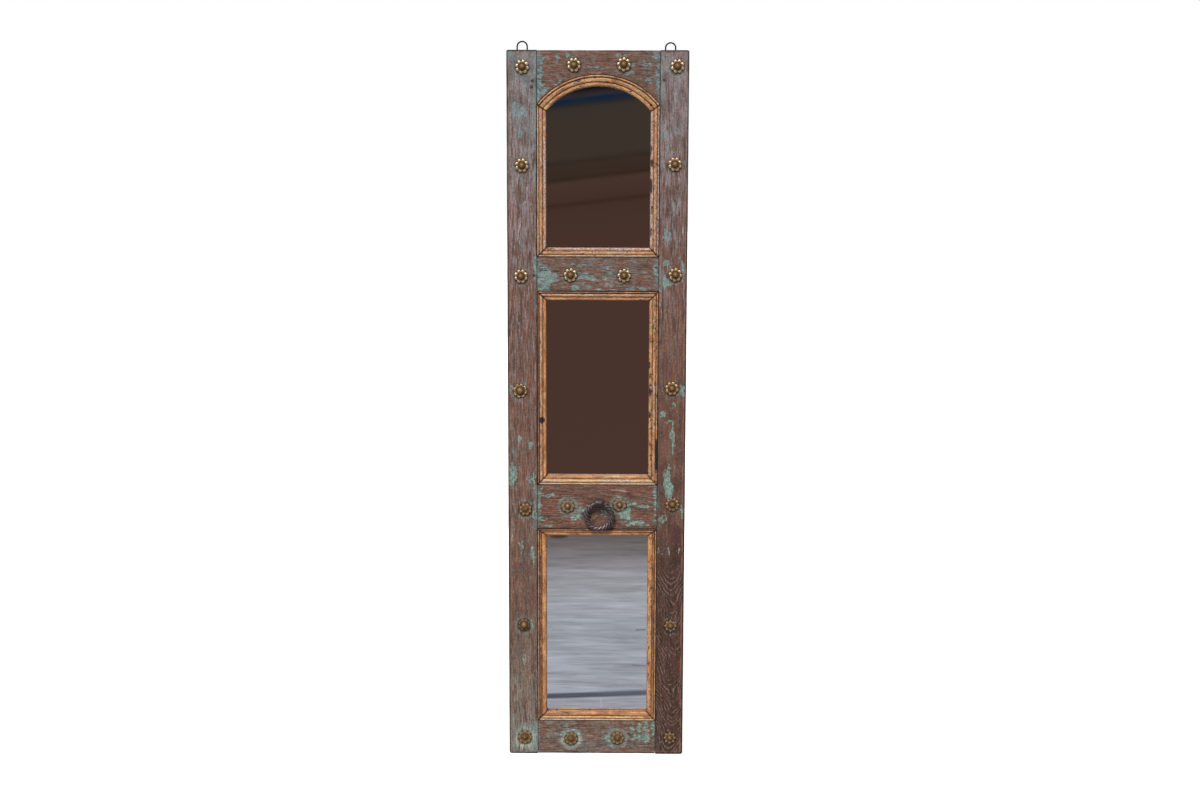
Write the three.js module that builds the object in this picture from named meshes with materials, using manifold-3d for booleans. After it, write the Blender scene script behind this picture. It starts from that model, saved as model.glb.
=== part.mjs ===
// A tall, narrow wall mirror made from an old wooden shutter: two full-height stiles and four
// rails, joined by pegged tenons, frame three mirror panes, the upper one arched. Stepped
// mouldings hold each pane from the front, cast flowers and a twisted ring pull dress the
// face, and two D-shaped wire loops behind the top edge hang it.
import * as THREE from "three";
import { mergeVertices } from "three/addons/utils/BufferGeometryUtils.js";
import Module from "manifold-3d";

// ---------------------------------------------------------------- driving dimensions
// Millimetres. X runs right, Y to the back, Z up. The origin is the middle of the bottom
// edge at half thickness.
const HEIGHT = 1820;
const WIDTH = 457;
const THICKNESS = 38;
const SEAT_GAP = 0.3; // between pieces that rest on one another

const LEFT_STILE_WIDTH = 76;
const RIGHT_STILE_WIDTH = 72.5;
const TOP_CORNER_RADIUS = 4;
const BOTTOM_CORNER_RADIUS = 5.5;

const BOTTOM_RAIL_HEIGHT = 90;
const LOWER_PANE_HEIGHT = 514.5;
const LOWER_MID_RAIL_HEIGHT = 116;
const MIDDLE_PANE_HEIGHT = 499;
const UPPER_MID_RAIL_HEIGHT = 87;
const CROWN_HEIGHT = 60; // wood left above the top of the arch
const ARCH_RISE = 73.8; // from the ends of the arch to its top
const RAIL_SETBACK = 2; // the rails' faces lie this far behind the stiles'

const TENON_THICKNESS = 12;
const TENON_LENGTH = 45;
const TENON_FRONT_CHEEK = 11; // stile wood in front of a tenon
const TENON_SHOULDER = 3; // beside a tenon, past the pane's rebate
const TOP_TENON_SHOULDER = 14; // above the top rail's tenons
const MORTISE_END_GAP = 1;
const PEG_RADIUS = 3;
const PEG_SINK = 0.4;
const HOLE_CLEARANCE = 0.4; // radial, round pegs, nails and screws

const GLASS_DEPTH = 22.5; // from the stiles' faces to the mirror's face
const GLASS_THICKNESS = 4;
const BACKING_THICKNESS = 5;
const REBATE_WIDTH = 8;
const PANE_EDGE_GAP = 0.8;

const MOULDING_WIDTH = 22.5;
const NARROW_MOULDING_WIDTH = 17.5; // above the lower pane
const ARCH_MOULDING_WIDTH = 27.5;
const MITRE_GAP = 0.25; // each strip stops this short of its mitre
const BEAD_STEPS = 4;
// Three half-round beads step down to the glass: where each starts and ends across the
// strip, and how deep its crest and the groove after it lie behind the stiles' faces.
const FIRST_GROOVE_DEPTH = 2.4;
const BEADS = [
  { from: 0.03, to: 0.33, crest: 0.6, groove: 4.4 },
  { from: 0.38, to: 0.68, crest: 3.0, groove: 7.2 },
  { from: 0.73, to: 0.99, crest: 6.2, groove: 10 },
];

const NAIL_RADIUS = 1.5;
const NAIL_LENGTH = 9.5;
const PLATE_EDGE = 0.9; // thickness of a flower's rim
const CUP_DEPTH = 1; // from the raised ring down to the knob's foot
const SHOULDER_WIDTH = 0.74; // of a knob's radius
const SHOULDER_HEIGHT = 0.62; // of its height above the raised ring
const RAIL_FLOWER_OFFSET = 64; // inner flowers, from the middle of a rail
const TOP_FLOWER_DROP = 39; // the top row, below the top edge

const EYE_RADIUS = 12;
const EYE_WIDTH = 22;
const EYE_ROUNDING = 2;
const RING_RADIUS = 33; // to the middle of the bar
const RING_BAR_RADIUS = 6.4;
const RING_NECK_RADIUS = 5.8; // the plain part in the eye
const RING_LOBE = 0.09; // how far the square twist stands out, as a share of the bar
const RING_TURNS = 5;
const RING_STEPS_PER_TURN = 14;
const BORE_CLEARANCE = 0.6;
const RING_SIDE_OFFSET = 4.75; // from the rail's middle
const RING_HEIGHT_OFFSET = 12; // the eye's middle above the rail's
const STAPLE_LEG_WIDTH = 7;
const STAPLE_LEG_HEIGHT = 9;
const CLINCH_LENGTH = 20;
const CLINCH_THICKNESS = 3;

const LOOP_WIRE_RADIUS = 1.9;
const LOOP_HALF_WIDTH = 12.6; // to the middle of the wire
const LOOP_HEIGHT = 36; // from the pivot to the middle of the crown
const LOOP_CORNER_RADIUS = 3.2;
const LEFT_LOOP_RISE = 26; // above the top edge
const RIGHT_LOOP_RISE = 23.5;
const RIGHT_LOOP_OFFSET = 9.75; // towards the middle, from its stile's centreline
const STRAP_WIDTH = 16;
const STRAP_THICKNESS = 2;
const STRAP_LENGTH = 33;
const KNUCKLE_WALL = 1.6;
const KNUCKLE_CLEARANCE = 0.35;
const SCREW_RADIUS = 2;
const SCREW_LENGTH = 16;
const SCREW_HEAD_RADIUS = 4;
const SCREW_HEAD_HEIGHT = 2.2;
const SCREW_DROPS = [10, 25]; // below the loop's pivot

const ARC_STEPS_PER_TURN = 80;
const ROUND_SIDES = 12;
const FINE_SIDES = 24;
const SMALL_SIDES = 8;

// ---------------------------------------------------------------- derived places
const FRONT = -THICKNESS / 2;
const BACK = THICKNESS / 2;
const RAIL_FRONT = FRONT + RAIL_SETBACK;
const OPENING_LEFT = -WIDTH / 2 + LEFT_STILE_WIDTH;
const OPENING_RIGHT = WIDTH / 2 - RIGHT_STILE_WIDTH;
const OPENING_MIDDLE = (OPENING_LEFT + OPENING_RIGHT) / 2;
const OPENING_HALF = (OPENING_RIGHT - OPENING_LEFT) / 2;
const LEFT_STILE_MIDDLE = (-WIDTH / 2 + OPENING_LEFT) / 2;
const RIGHT_STILE_MIDDLE = (WIDTH / 2 + OPENING_RIGHT) / 2;

const LOWER_PANE = { bottom: BOTTOM_RAIL_HEIGHT, top: BOTTOM_RAIL_HEIGHT + LOWER_PANE_HEIGHT };
const MIDDLE_PANE_BOTTOM = LOWER_PANE.top + LOWER_MID_RAIL_HEIGHT;
const MIDDLE_PANE = { bottom: MIDDLE_PANE_BOTTOM, top: MIDDLE_PANE_BOTTOM + MIDDLE_PANE_HEIGHT };
const UPPER_PANE = {
  bottom: MIDDLE_PANE.top + UPPER_MID_RAIL_HEIGHT,
  top: HEIGHT - CROWN_HEIGHT,
  arched: true,
};

const ARCH_RADIUS = (OPENING_HALF ** 2 + ARCH_RISE ** 2) / (2 * ARCH_RISE);
const ARCH_CENTRE = UPPER_PANE.top - ARCH_RADIUS;
const ARCH_END = UPPER_PANE.top - ARCH_RISE;
const ARCH_INNER_END =
  ARCH_CENTRE +
  Math.sqrt((ARCH_RADIUS - ARCH_MOULDING_WIDTH) ** 2 - (OPENING_HALF - MOULDING_WIDTH) ** 2);

const GLASS_FRONT = FRONT + GLASS_DEPTH;
const REBATE_FRONT = GLASS_FRONT - SEAT_GAP;
const BACKING_FRONT = GLASS_FRONT + GLASS_THICKNESS + SEAT_GAP;
const NAIL_HOLE_DEPTH = NAIL_LENGTH + HOLE_CLEARANCE;

const ROW_HEIGHTS = {
  1: HEIGHT - TOP_FLOWER_DROP,
  2: (UPPER_PANE.bottom + UPPER_PANE.top) / 2,
  3: (MIDDLE_PANE.top + UPPER_PANE.bottom) / 2,
  4: (MIDDLE_PANE.bottom + MIDDLE_PANE.top) / 2,
  5: (LOWER_PANE.top + MIDDLE_PANE.bottom) / 2,
  6: (LOWER_PANE.bottom + LOWER_PANE.top) / 2,
  7: BOTTOM_RAIL_HEIGHT / 2,
};
const COLUMNS = {
  a: { x: LEFT_STILE_MIDDLE, face: FRONT },
  b: { x: OPENING_MIDDLE - RAIL_FLOWER_OFFSET, face: RAIL_FRONT },
  c: { x: OPENING_MIDDLE + RAIL_FLOWER_OFFSET, face: RAIL_FRONT },
  d: { x: RIGHT_STILE_MIDDLE, face: FRONT },
};

const EYE_X = OPENING_MIDDLE + RING_SIDE_OFFSET;
const EYE_Y = RAIL_FRONT - SEAT_GAP - EYE_RADIUS;
const EYE_Z = ROW_HEIGHTS[5] + RING_HEIGHT_OFFSET;
const RING_PIVOT_Z = EYE_Z - (BORE_CLEARANCE - SEAT_GAP);

const KNUCKLE_RADIUS = LOOP_WIRE_RADIUS + KNUCKLE_CLEARANCE + KNUCKLE_WALL;
const LOOP_Y = BACK + SEAT_GAP + KNUCKLE_RADIUS;
const HANGERS = [
  { side: "left", x: LEFT_STILE_MIDDLE, rise: LEFT_LOOP_RISE },
  { side: "right", x: RIGHT_STILE_MIDDLE - RIGHT_LOOP_OFFSET, rise: RIGHT_LOOP_RISE },
].map((h) => ({ ...h, z: HEIGHT + h.rise - LOOP_WIRE_RADIUS - LOOP_HEIGHT }));

// Dowels through the tenons, each set in from the stile's inner edge.
const PEGS = [
  { name: "peg_top_left_upper", side: -1, inset: 10.4, z: HEIGHT - 76 },
  { name: "peg_top_left_lower", side: -1, inset: 12.9, z: HEIGHT - 91.5 },
  { name: "peg_top_right", side: 1, inset: 9.9, z: HEIGHT - 73 },
  { name: "peg_upper_mid_left", side: -1, inset: 8.1, z: ROW_HEIGHTS[3] - 3.4 },
].map((p) => ({ ...p, x: p.side < 0 ? OPENING_LEFT - p.inset : OPENING_RIGHT + p.inset }));

// The kinds of cast flower. radius is the outer one, valley the outline's radius between
// two petals, cup the raised ring's and knob the centre's, each with its rise off the
// wood. A square knob is a four-sided pyramid.
const KINDS = {
  bloom: {
    petals: 8, radius: 17.6, valley: 14.6, rise: 3.6,
    cup: 10.4, cupRise: 4.6, knob: 7, knobRise: 9.5,
  },
  big_dome: {
    petals: 8, radius: 18.4, valley: 15.4, rise: 3.4,
    cup: 11, cupRise: 4.4, knob: 8.4, knobRise: 11.5,
  },
  angular: {
    petals: 8, radius: 15.6, valley: 13.2, rise: 3.2,
    cup: 9.8, cupRise: 5, knob: 7.4, knobRise: 10,
  },
  knob_plate: {
    petals: 8, radius: 17.4, valley: 15.4, rise: 2,
    cup: 9.8, cupRise: 2.6, knob: 8.8, knobRise: 10.5,
  },
  many_petals: {
    petals: 10, radius: 18, valley: 14.4, rise: 3.8,
    cup: 11.4, cupRise: 4.4, knob: 7, knobRise: 9.5,
  },
  ringed: {
    petals: 8, radius: 15, valley: 13.6, rise: 1.8,
    cup: 11.2, cupRise: 3.6, knob: 8.4, knobRise: 10.5,
  },
  pointed: {
    petals: 8, radius: 17, valley: 12.8, rise: 2.6,
    cup: 9.2, cupRise: 3.6, knob: 6.6, knobRise: 8.5,
  },
  round_plate: {
    petals: 8, radius: 18.6, valley: 18.1, rise: 2.2,
    cup: 10.4, cupRise: 2.4, knob: 7.6, knobRise: 10.5, square: true,
  },
  pyramid: {
    petals: 8, radius: 17.2, valley: 14.8, rise: 2.4,
    cup: 10.2, cupRise: 3, knob: 7.6, knobRise: 10.5, square: true,
  },
};
// Every flower: its row and column, how far it sits off its place there, and its turn.
const FLOWERS = [
  { at: "1a", dx: 2, dz: -2.7, kind: "bloom", turn: 12 },
  { at: "1b", dx: 2.9, dz: 2.1, kind: "bloom", turn: 20 },
  { at: "1c", dx: -0.7, dz: 3.6, kind: "bloom", turn: 4 },
  { at: "1d", dx: 6.3, dz: -0.6, kind: "bloom", turn: 22 },
  { at: "2a", dx: 0.4, dz: 2.1, kind: "bloom", turn: 17 },
  { at: "2d", dx: 2.4, dz: 5.7, kind: "bloom", turn: 21 },
  { at: "3a", dx: -2.6, dz: -5.6, kind: "bloom", turn: 22 },
  { at: "3b", dx: -5.5, dz: -2.3, kind: "bloom", turn: 10 },
  { at: "3c", dx: 2.5, dz: -3.1, kind: "bloom", turn: 3 },
  { at: "3d", dx: 5.7, dz: -0.7, kind: "bloom", turn: 8 },
  { at: "4a", dx: -5.7, dz: -4.6, kind: "big_dome", turn: 14 },
  { at: "4d", dx: -0.5, dz: 2.6, kind: "bloom", turn: 16 },
  { at: "5a", dx: 6.8, dz: -5.4, kind: "angular", turn: 22 },
  { at: "5b", dx: -12.2, dz: 2.6, kind: "knob_plate", turn: 0 },
  { at: "5c", dx: -6.1, dz: 6.2, kind: "knob_plate", turn: 14 },
  { at: "5d", dx: 3.5, dz: 8.3, kind: "many_petals", turn: 6 },
  { at: "6a", dx: 2.7, dz: 2.5, kind: "ringed", turn: 22 },
  { at: "6d", dx: 1.3, dz: 1.3, kind: "pointed", turn: 0 },
  { at: "7a", dx: 3.5, dz: 0.7, kind: "round_plate", turn: 45 },
  { at: "7b", dx: -3, dz: -3.7, kind: "pyramid", turn: 50 },
  { at: "7c", dx: -8.7, dz: -1.6, kind: "pyramid", turn: 0 },
  { at: "7d", dx: 2.2, dz: 0.3, kind: "pointed", turn: 0 },
].map((f) => {
  const column = COLUMNS[f.at[1]];
  return { ...f, x: column.x + f.dx, z: ROW_HEIGHTS[f.at[0]] + f.dz, face: column.face };
});

// ---------------------------------------------------------------- materials
const MATERIALS = {
  stile_wood: { color: 0x7d655c, roughness: 0.85, metalness: 0 },
  rail_wood: { color: 0x754f43, roughness: 0.85, metalness: 0 },
  moulding_wood: { color: 0xc8925f, roughness: 0.6, metalness: 0 },
  mirror: { color: 0x6f6a6c, roughness: 0.05, metalness: 1 },
  backing: { color: 0x9a7f60, roughness: 0.8, metalness: 0 },
  brass: { color: 0xb08d57, roughness: 0.4, metalness: 0.9 },
  iron: { color: 0x4b4247, roughness: 0.5, metalness: 0.8 },
  wire: { color: 0x1c1b1d, roughness: 0.4, metalness: 0.8 },
  zinc: { color: 0x8d8f92, roughness: 0.4, metalness: 0.9 },
  peg: { color: 0x3b3630, roughness: 0.9, metalness: 0 },
};

function mesh(name, geometry, material) {
  const made = new THREE.Mesh(geometry, new THREE.MeshStandardMaterial(MATERIALS[material]));
  made.name = name;
  return made;
}

// ---------------------------------------------------------------- solids
const wasm = await Module();
wasm.setup();

function solid(geometry) {
  const bare = new THREE.BufferGeometry();
  bare.setAttribute("position", geometry.getAttribute("position"));
  if (geometry.index) bare.setIndex(geometry.index);
  const merged = mergeVertices(bare, 1e-4);
  return new wasm.Manifold(
    new wasm.Mesh({
      numProp: 3,
      vertProperties: merged.attributes.position.array,
      triVerts: new Uint32Array(merged.index.array),
    }),
  );
}

function geometryOf(body) {
  const { vertProperties, triVerts } = body.getMesh();
  return new THREE.BufferGeometry()
    .setAttribute("position", new THREE.BufferAttribute(vertProperties, 3))
    .setIndex(new THREE.BufferAttribute(triVerts, 1));
}

function block(x0, x1, y0, y1, z0, z1) {
  const box = new THREE.BoxGeometry(x1 - x0, y1 - y0, z1 - z0);
  return box.translate((x0 + x1) / 2, (y0 + y1) / 2, (z0 + z1) / 2);
}

// An outline drawn in X and Z, given thickness along Y.
function plate(shape, front, back) {
  const board = new THREE.ExtrudeGeometry(shape, {
    depth: back - front,
    bevelEnabled: false,
    curveSegments: BEAD_STEPS,
  });
  return board.translate(0, 0, -back).rotateX(Math.PI / 2);
}

function rod(radius, x, z, y0, y1, sides) {
  const bar = new THREE.CylinderGeometry(radius, radius, y1 - y0, sides);
  return bar.translate(x, (y0 + y1) / 2, z);
}

function arc(x, z, radius, from, to, steps) {
  return Array.from({ length: steps + 1 }, (_, i) => {
    const angle = from + ((to - from) * i) / steps;
    return new THREE.Vector2(x + radius * Math.cos(angle), z + radius * Math.sin(angle));
  });
}

// A closed skin over a stack of rings of points, with a flat cap under the first ring and
// a fan up to the last one's peak. A ring may hold half as many points as the one before.
function stackedSkin(rings, peak) {
  const points = [...rings.flat(), peak];
  const triangles = [];
  let start = 0;
  for (let i = 2; i < rings[0].length; i++) triangles.push(0, i, i - 1);
  rings.forEach((ring, r) => {
    const next = start + ring.length;
    const above = rings[r + 1];
    for (let i = 0; i < ring.length; i++) {
      const a = start + i;
      const b = start + ((i + 1) % ring.length);
      if (!above) {
        triangles.push(a, b, next);
      } else if (above.length === ring.length) {
        const c = next + i;
        const d = next + ((i + 1) % above.length);
        triangles.push(a, b, c, c, b, d);
      } else {
        const c = next + Math.floor(i / 2);
        triangles.push(a, b, c);
        if (i % 2) triangles.push(c, b, next + ((Math.floor(i / 2) + 1) % above.length));
      }
    }
    start = next;
  });
  return new THREE.BufferGeometry().setFromPoints(points).setIndex(triangles);
}

// A bar along a closed loop of points in the XZ plane, anticlockwise. section(i) gives the
// radii round the bar at point i, and turn(i) how far they are wound round it.
function closedBar(path, section, turn) {
  const points = [];
  const triangles = [];
  const sides = section(0).length;
  path.forEach((at, i) => {
    const ahead = path[(i + 1) % path.length];
    const behind = path[(i + path.length - 1) % path.length];
    const along = ahead.clone().sub(behind).normalize();
    section(i).forEach((radius, j) => {
      const angle = (2 * Math.PI * j) / sides + turn(i);
      const out = radius * Math.cos(angle);
      points.push(
        new THREE.Vector3(at.x + along.y * out, radius * Math.sin(angle), at.y - along.x * out),
      );
      const a = i * sides + j;
      const b = i * sides + ((j + 1) % sides);
      const c = ((i + 1) % path.length) * sides;
      triangles.push(a, b, c + j, c + j, b, c + ((j + 1) % sides));
    });
  });
  return new THREE.BufferGeometry().setFromPoints(points).setIndex(triangles);
}

// ---------------------------------------------------------------- the wooden frame
// The outline of a pane's opening, grown by offset on every side.
function openingShape(pane, offset) {
  const left = OPENING_LEFT - offset;
  const right = OPENING_RIGHT + offset;
  const shape = new THREE.Shape();
  shape.moveTo(left, pane.bottom - offset);
  shape.lineTo(right, pane.bottom - offset);
  if (pane.arched) {
    archPoints(ARCH_RADIUS + offset, OPENING_HALF + offset).forEach((p) => shape.lineTo(p.x, p.y));
  } else {
    shape.lineTo(right, pane.top + offset);
    shape.lineTo(left, pane.top + offset);
  }
  shape.closePath();
  return shape;
}

// The arch from right to left, as far as half is wide on each side of the opening's middle.
function archPoints(radius, half) {
  const from = Math.acos(half / radius);
  const span = Math.PI - 2 * from;
  const steps = Math.ceil((ARC_STEPS_PER_TURN * span) / (2 * Math.PI));
  return arc(OPENING_MIDDLE, ARCH_CENTRE, radius, from, Math.PI - from, steps);
}

function stileShape(outer, inner) {
  const inwards = Math.sign(inner - outer);
  const shape = new THREE.Shape();
  shape.moveTo(inner, 0);
  shape.lineTo(outer + inwards * BOTTOM_CORNER_RADIUS, 0);
  shape.quadraticCurveTo(outer, 0, outer, BOTTOM_CORNER_RADIUS);
  shape.lineTo(outer, HEIGHT - TOP_CORNER_RADIUS);
  shape.quadraticCurveTo(outer, HEIGHT, outer + inwards * TOP_CORNER_RADIUS, HEIGHT);
  shape.lineTo(inner, HEIGHT);
  shape.closePath();
  return shape;
}

// Each rail's edges, and the edges of its tenons.
const RAILS = [
  { name: "bottom_rail", bottom: 0, top: LOWER_PANE.bottom },
  { name: "lower_mid_rail", bottom: LOWER_PANE.top, top: MIDDLE_PANE.bottom },
  { name: "upper_mid_rail", bottom: MIDDLE_PANE.top, top: UPPER_PANE.bottom },
  { name: "top_rail", bottom: ARCH_END, top: HEIGHT, arched: true },
].map((rail) => ({
  ...rail,
  tenonBottom: rail.bottom + REBATE_WIDTH + TENON_SHOULDER,
  tenonTop: rail.arched ? rail.top - TOP_TENON_SHOULDER : rail.top - REBATE_WIDTH - TENON_SHOULDER,
}));

function railShape(rail) {
  const left = OPENING_LEFT + SEAT_GAP;
  const right = OPENING_RIGHT - SEAT_GAP;
  const shape = new THREE.Shape();
  shape.moveTo(left, rail.top);
  if (rail.arched) {
    const under = archPoints(ARCH_RADIUS + 2 * SEAT_GAP, OPENING_HALF - SEAT_GAP).reverse();
    under.forEach((p) => shape.lineTo(p.x, p.y));
  } else {
    shape.lineTo(left, rail.bottom);
    shape.lineTo(right, rail.bottom);
  }
  shape.lineTo(right, rail.top);
  shape.closePath();
  return shape;
}

function tenon(rail, side, clearance, endGap) {
  const edge = side < 0 ? OPENING_LEFT : OPENING_RIGHT;
  const tip = edge + side * (TENON_LENGTH + endGap);
  const root = edge - side * REBATE_WIDTH;
  const front = FRONT + TENON_FRONT_CHEEK;
  return block(
    Math.min(root, tip),
    Math.max(root, tip),
    front - clearance,
    front + TENON_THICKNESS + clearance,
    rail.tenonBottom - clearance,
    rail.tenonTop + clearance,
  );
}

// Everything bored or cut into the wood: rebates, nail, peg and screw holes, and the slot
// that the staple's legs pass through.
function woodCuts() {
  const cuts = [LOWER_PANE, MIDDLE_PANE, UPPER_PANE].map((pane) =>
    plate(openingShape(pane, REBATE_WIDTH), REBATE_FRONT, BACK + 1),
  );
  for (const f of FLOWERS) {
    const radius = NAIL_RADIUS + HOLE_CLEARANCE;
    cuts.push(rod(radius, f.x, f.z, f.face - 1 - RAIL_SETBACK, f.face + NAIL_HOLE_DEPTH, SMALL_SIDES));
  }
  for (const p of PEGS) {
    cuts.push(rod(PEG_RADIUS + HOLE_CLEARANCE, p.x, p.z, FRONT - 1, BACK + 1, ROUND_SIDES));
  }
  for (const h of HANGERS) {
    for (const drop of SCREW_DROPS) {
      const deep = BACK - SCREW_LENGTH - HOLE_CLEARANCE;
      cuts.push(rod(SCREW_RADIUS + HOLE_CLEARANCE, h.x, h.z - drop, deep, BACK + 1, SMALL_SIDES));
    }
  }
  const halfSlot = STAPLE_LEG_WIDTH / 2 + HOLE_CLEARANCE;
  const halfSlotHeight = STAPLE_LEG_HEIGHT / 2 + HOLE_CLEARANCE;
  const slot = block(-halfSlot, halfSlot, FRONT - 1, BACK + 1, -halfSlotHeight, halfSlotHeight);
  cuts.push(slot.translate(EYE_X, 0, EYE_Z));
  return cuts.map(solid);
}

function bored(wood, cuts) {
  return cuts.reduce((left, cut) => left.subtract(cut), wood);
}

function makeFrame() {
  const group = new THREE.Group();
  const cuts = woodCuts();
  for (const [name, side, outer, inner] of [
    ["stile_left", -1, -WIDTH / 2, OPENING_LEFT],
    ["stile_right", 1, WIDTH / 2, OPENING_RIGHT],
  ]) {
    const mortises = RAILS.map((rail) => solid(tenon(rail, side, SEAT_GAP, MORTISE_END_GAP)));
    const stile = bored(solid(plate(stileShape(outer, inner), FRONT, BACK)), [...mortises, ...cuts]);
    group.add(mesh(name, geometryOf(stile), "stile_wood"));
  }
  for (const rail of RAILS) {
    const board = solid(plate(railShape(rail), RAIL_FRONT, BACK));
    const whole = board.add(solid(tenon(rail, -1, 0, 0))).add(solid(tenon(rail, 1, 0, 0)));
    group.add(mesh(rail.name, geometryOf(bored(whole, cuts)), "rail_wood"));
  }
  for (const p of PEGS) {
    const peg = rod(PEG_RADIUS, 0, 0, FRONT + PEG_SINK, BACK, ROUND_SIDES);
    const made = mesh(p.name, peg, "peg");
    made.position.set(p.x, 0, p.z);
    group.add(made);
  }
  return group;
}

// ---------------------------------------------------------------- panes and mouldings
function makePane(name, pane) {
  const group = new THREE.Group();
  const shape = openingShape(pane, REBATE_WIDTH - PANE_EDGE_GAP);
  const glass = plate(shape, GLASS_FRONT, GLASS_FRONT + GLASS_THICKNESS);
  const board = plate(shape, BACKING_FRONT, BACKING_FRONT + BACKING_THICKNESS);
  group.add(mesh("mirror_" + name, glass, "mirror"));
  group.add(mesh("backing_" + name, board, "backing"));
  return group;
}

// The section of a moulding: across from its outer edge, and depth behind the stiles'
// faces, in order round the strip.
function mouldingSection(width) {
  const points = [new THREE.Vector2(0, GLASS_DEPTH - SEAT_GAP), new THREE.Vector2(0, FIRST_GROOVE_DEPTH)];
  let before = FIRST_GROOVE_DEPTH;
  for (const bead of BEADS) {
    for (let i = 0; i <= BEAD_STEPS; i++) {
      const share = i / BEAD_STEPS;
      const foot = before + (bead.groove - before) * share;
      const height = Math.sin(Math.PI * share);
      const across = bead.from + (bead.to - bead.from) * (1 - Math.cos(Math.PI * share)) / 2;
      points.push(new THREE.Vector2(width * across, foot + (bead.crest - foot) * height));
    }
    before = bead.groove;
  }
  points.push(new THREE.Vector2(width, before), new THREE.Vector2(width, GLASS_DEPTH - SEAT_GAP));
  return points;
}

// A strip along Z with its section in X and Y. At each end it draws back by startCut or
// endCut at its inner edge, for the mitre.
function mitredStrip(length, width, startCut, endCut) {
  const strip = new THREE.ExtrudeGeometry(new THREE.Shape(mouldingSection(width)), {
    depth: length,
    bevelEnabled: false,
  });
  const at = strip.getAttribute("position");
  for (let i = 0; i < at.count; i++) {
    const across = at.getX(i) / width;
    const isEnd = at.getZ(i) > length / 2;
    at.setZ(i, isEnd ? length - MITRE_GAP - endCut * across : MITRE_GAP + startCut * across);
  }
  return strip;
}

function makeArchMoulding() {
  const section = mouldingSection(ARCH_MOULDING_WIDTH).map(
    (p) => new THREE.Vector2(ARCH_RADIUS - p.x, FRONT + p.y),
  );
  const profile = [...section, section[0]].reverse();
  const ring = new THREE.LatheGeometry(profile, ARC_STEPS_PER_TURN);
  ring.translate(OPENING_MIDDLE, 0, ARCH_CENTRE);
  const beyond = 3;
  const run = MOULDING_WIDTH;
  const fall = ARCH_END - ARCH_INNER_END;
  const wedge = new THREE.Shape();
  wedge.moveTo(OPENING_LEFT - beyond * run, ARCH_END + beyond * fall);
  wedge.lineTo(OPENING_MIDDLE, ARCH_END - (fall * OPENING_HALF) / run);
  wedge.lineTo(OPENING_RIGHT + beyond * run, ARCH_END + beyond * fall);
  wedge.lineTo(OPENING_RIGHT + beyond * run, HEIGHT);
  wedge.lineTo(OPENING_LEFT - beyond * run, HEIGHT);
  wedge.closePath();
  const kept = solid(plate(wedge, FRONT, BACK).translate(0, 0, SEAT_GAP));
  return mesh("moulding_upper_arch", geometryOf(solid(ring).intersect(kept)), "moulding_wood");
}

// The strips run clockwise round a pane, each from the corner where the one before ends.
function makeMouldings(name, pane, topWidth) {
  const group = new THREE.Group();
  const left = OPENING_LEFT + SEAT_GAP;
  const right = OPENING_RIGHT - SEAT_GAP;
  const bottom = pane.bottom + SEAT_GAP;
  const top = pane.arched ? ARCH_END : pane.top - SEAT_GAP;
  const sideCut = pane.arched ? ARCH_END - ARCH_INNER_END : topWidth;
  const wide = MOULDING_WIDTH;
  const sides = [
    { side: "left", x: left, z: bottom, length: top - bottom, width: wide, start: wide, end: sideCut },
    { side: "top", x: left, z: top, length: right - left, width: topWidth, start: wide, end: wide },
    { side: "right", x: right, z: top, length: top - bottom, width: wide, start: sideCut, end: wide },
    { side: "bottom", x: right, z: bottom, length: right - left, width: wide, start: wide, end: wide },
  ];
  sides.forEach((s, i) => {
    if (pane.arched && s.side === "top") return;
    const strip = mitredStrip(s.length, s.width, s.start, s.end);
    const made = mesh("moulding_" + name + "_" + s.side, strip, "moulding_wood");
    made.position.set(s.x, FRONT, s.z);
    made.rotation.y = (i * Math.PI) / 2;
    group.add(made);
  });
  return group;
}

// ---------------------------------------------------------------- flowers
// A cast flower lies in the XZ plane and faces -Y, with its nail along +Y. Petals swell
// between the rim and the cup, and the knob fills the cup.
function makeFlower(flower) {
  const kind = KINDS[flower.kind];
  const count = 4 * kind.petals;
  const ringOf = (n, radius, rise) =>
    Array.from({ length: n }, (_, i) => {
      const angle = (2 * Math.PI * i) / n;
      const petal = (1 + Math.cos(angle * kind.petals)) / 2;
      const r = radius(petal, angle);
      return new THREE.Vector3(r * Math.cos(angle), -rise(petal), r * Math.sin(angle));
    });
  const rim = (petal) => kind.valley + (kind.radius - kind.valley) * Math.sqrt(petal);
  const square = (angle) => 1 / Math.max(Math.abs(Math.cos(angle)), Math.abs(Math.sin(angle)));
  const knob = (share) => (petal, angle) =>
    kind.knob * share * (kind.square ? square(angle) * Math.SQRT1_2 : 1);
  const swell = (petal) => PLATE_EDGE + (kind.rise - PLATE_EDGE) * petal;
  const cup = kind.cup;
  const shoulder = kind.cupRise + (kind.knobRise - kind.cupRise) * SHOULDER_HEIGHT;
  const rings = [
    ringOf(count, rim, () => 0),
    ringOf(count, rim, () => PLATE_EDGE),
    ringOf(count, (petal) => (rim(petal) + cup) / 2, swell),
    ringOf(count / 2, () => cup, () => kind.cupRise),
    ringOf(count / 2, knob(1), () => kind.cupRise - CUP_DEPTH),
    ringOf(count / 2, knob(SHOULDER_WIDTH), () => shoulder),
  ];
  const head = solid(stackedSkin(rings, new THREE.Vector3(0, -kind.knobRise, 0)));
  const nail = solid(rod(NAIL_RADIUS, 0, 0, -PLATE_EDGE / 2, NAIL_LENGTH, SMALL_SIDES));
  const made = mesh("flower_" + flower.at, geometryOf(head.add(nail)), "brass");
  made.position.set(flower.x, flower.face - SEAT_GAP, flower.z);
  made.rotation.y = THREE.MathUtils.degToRad(flower.turn);
  return made;
}

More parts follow.
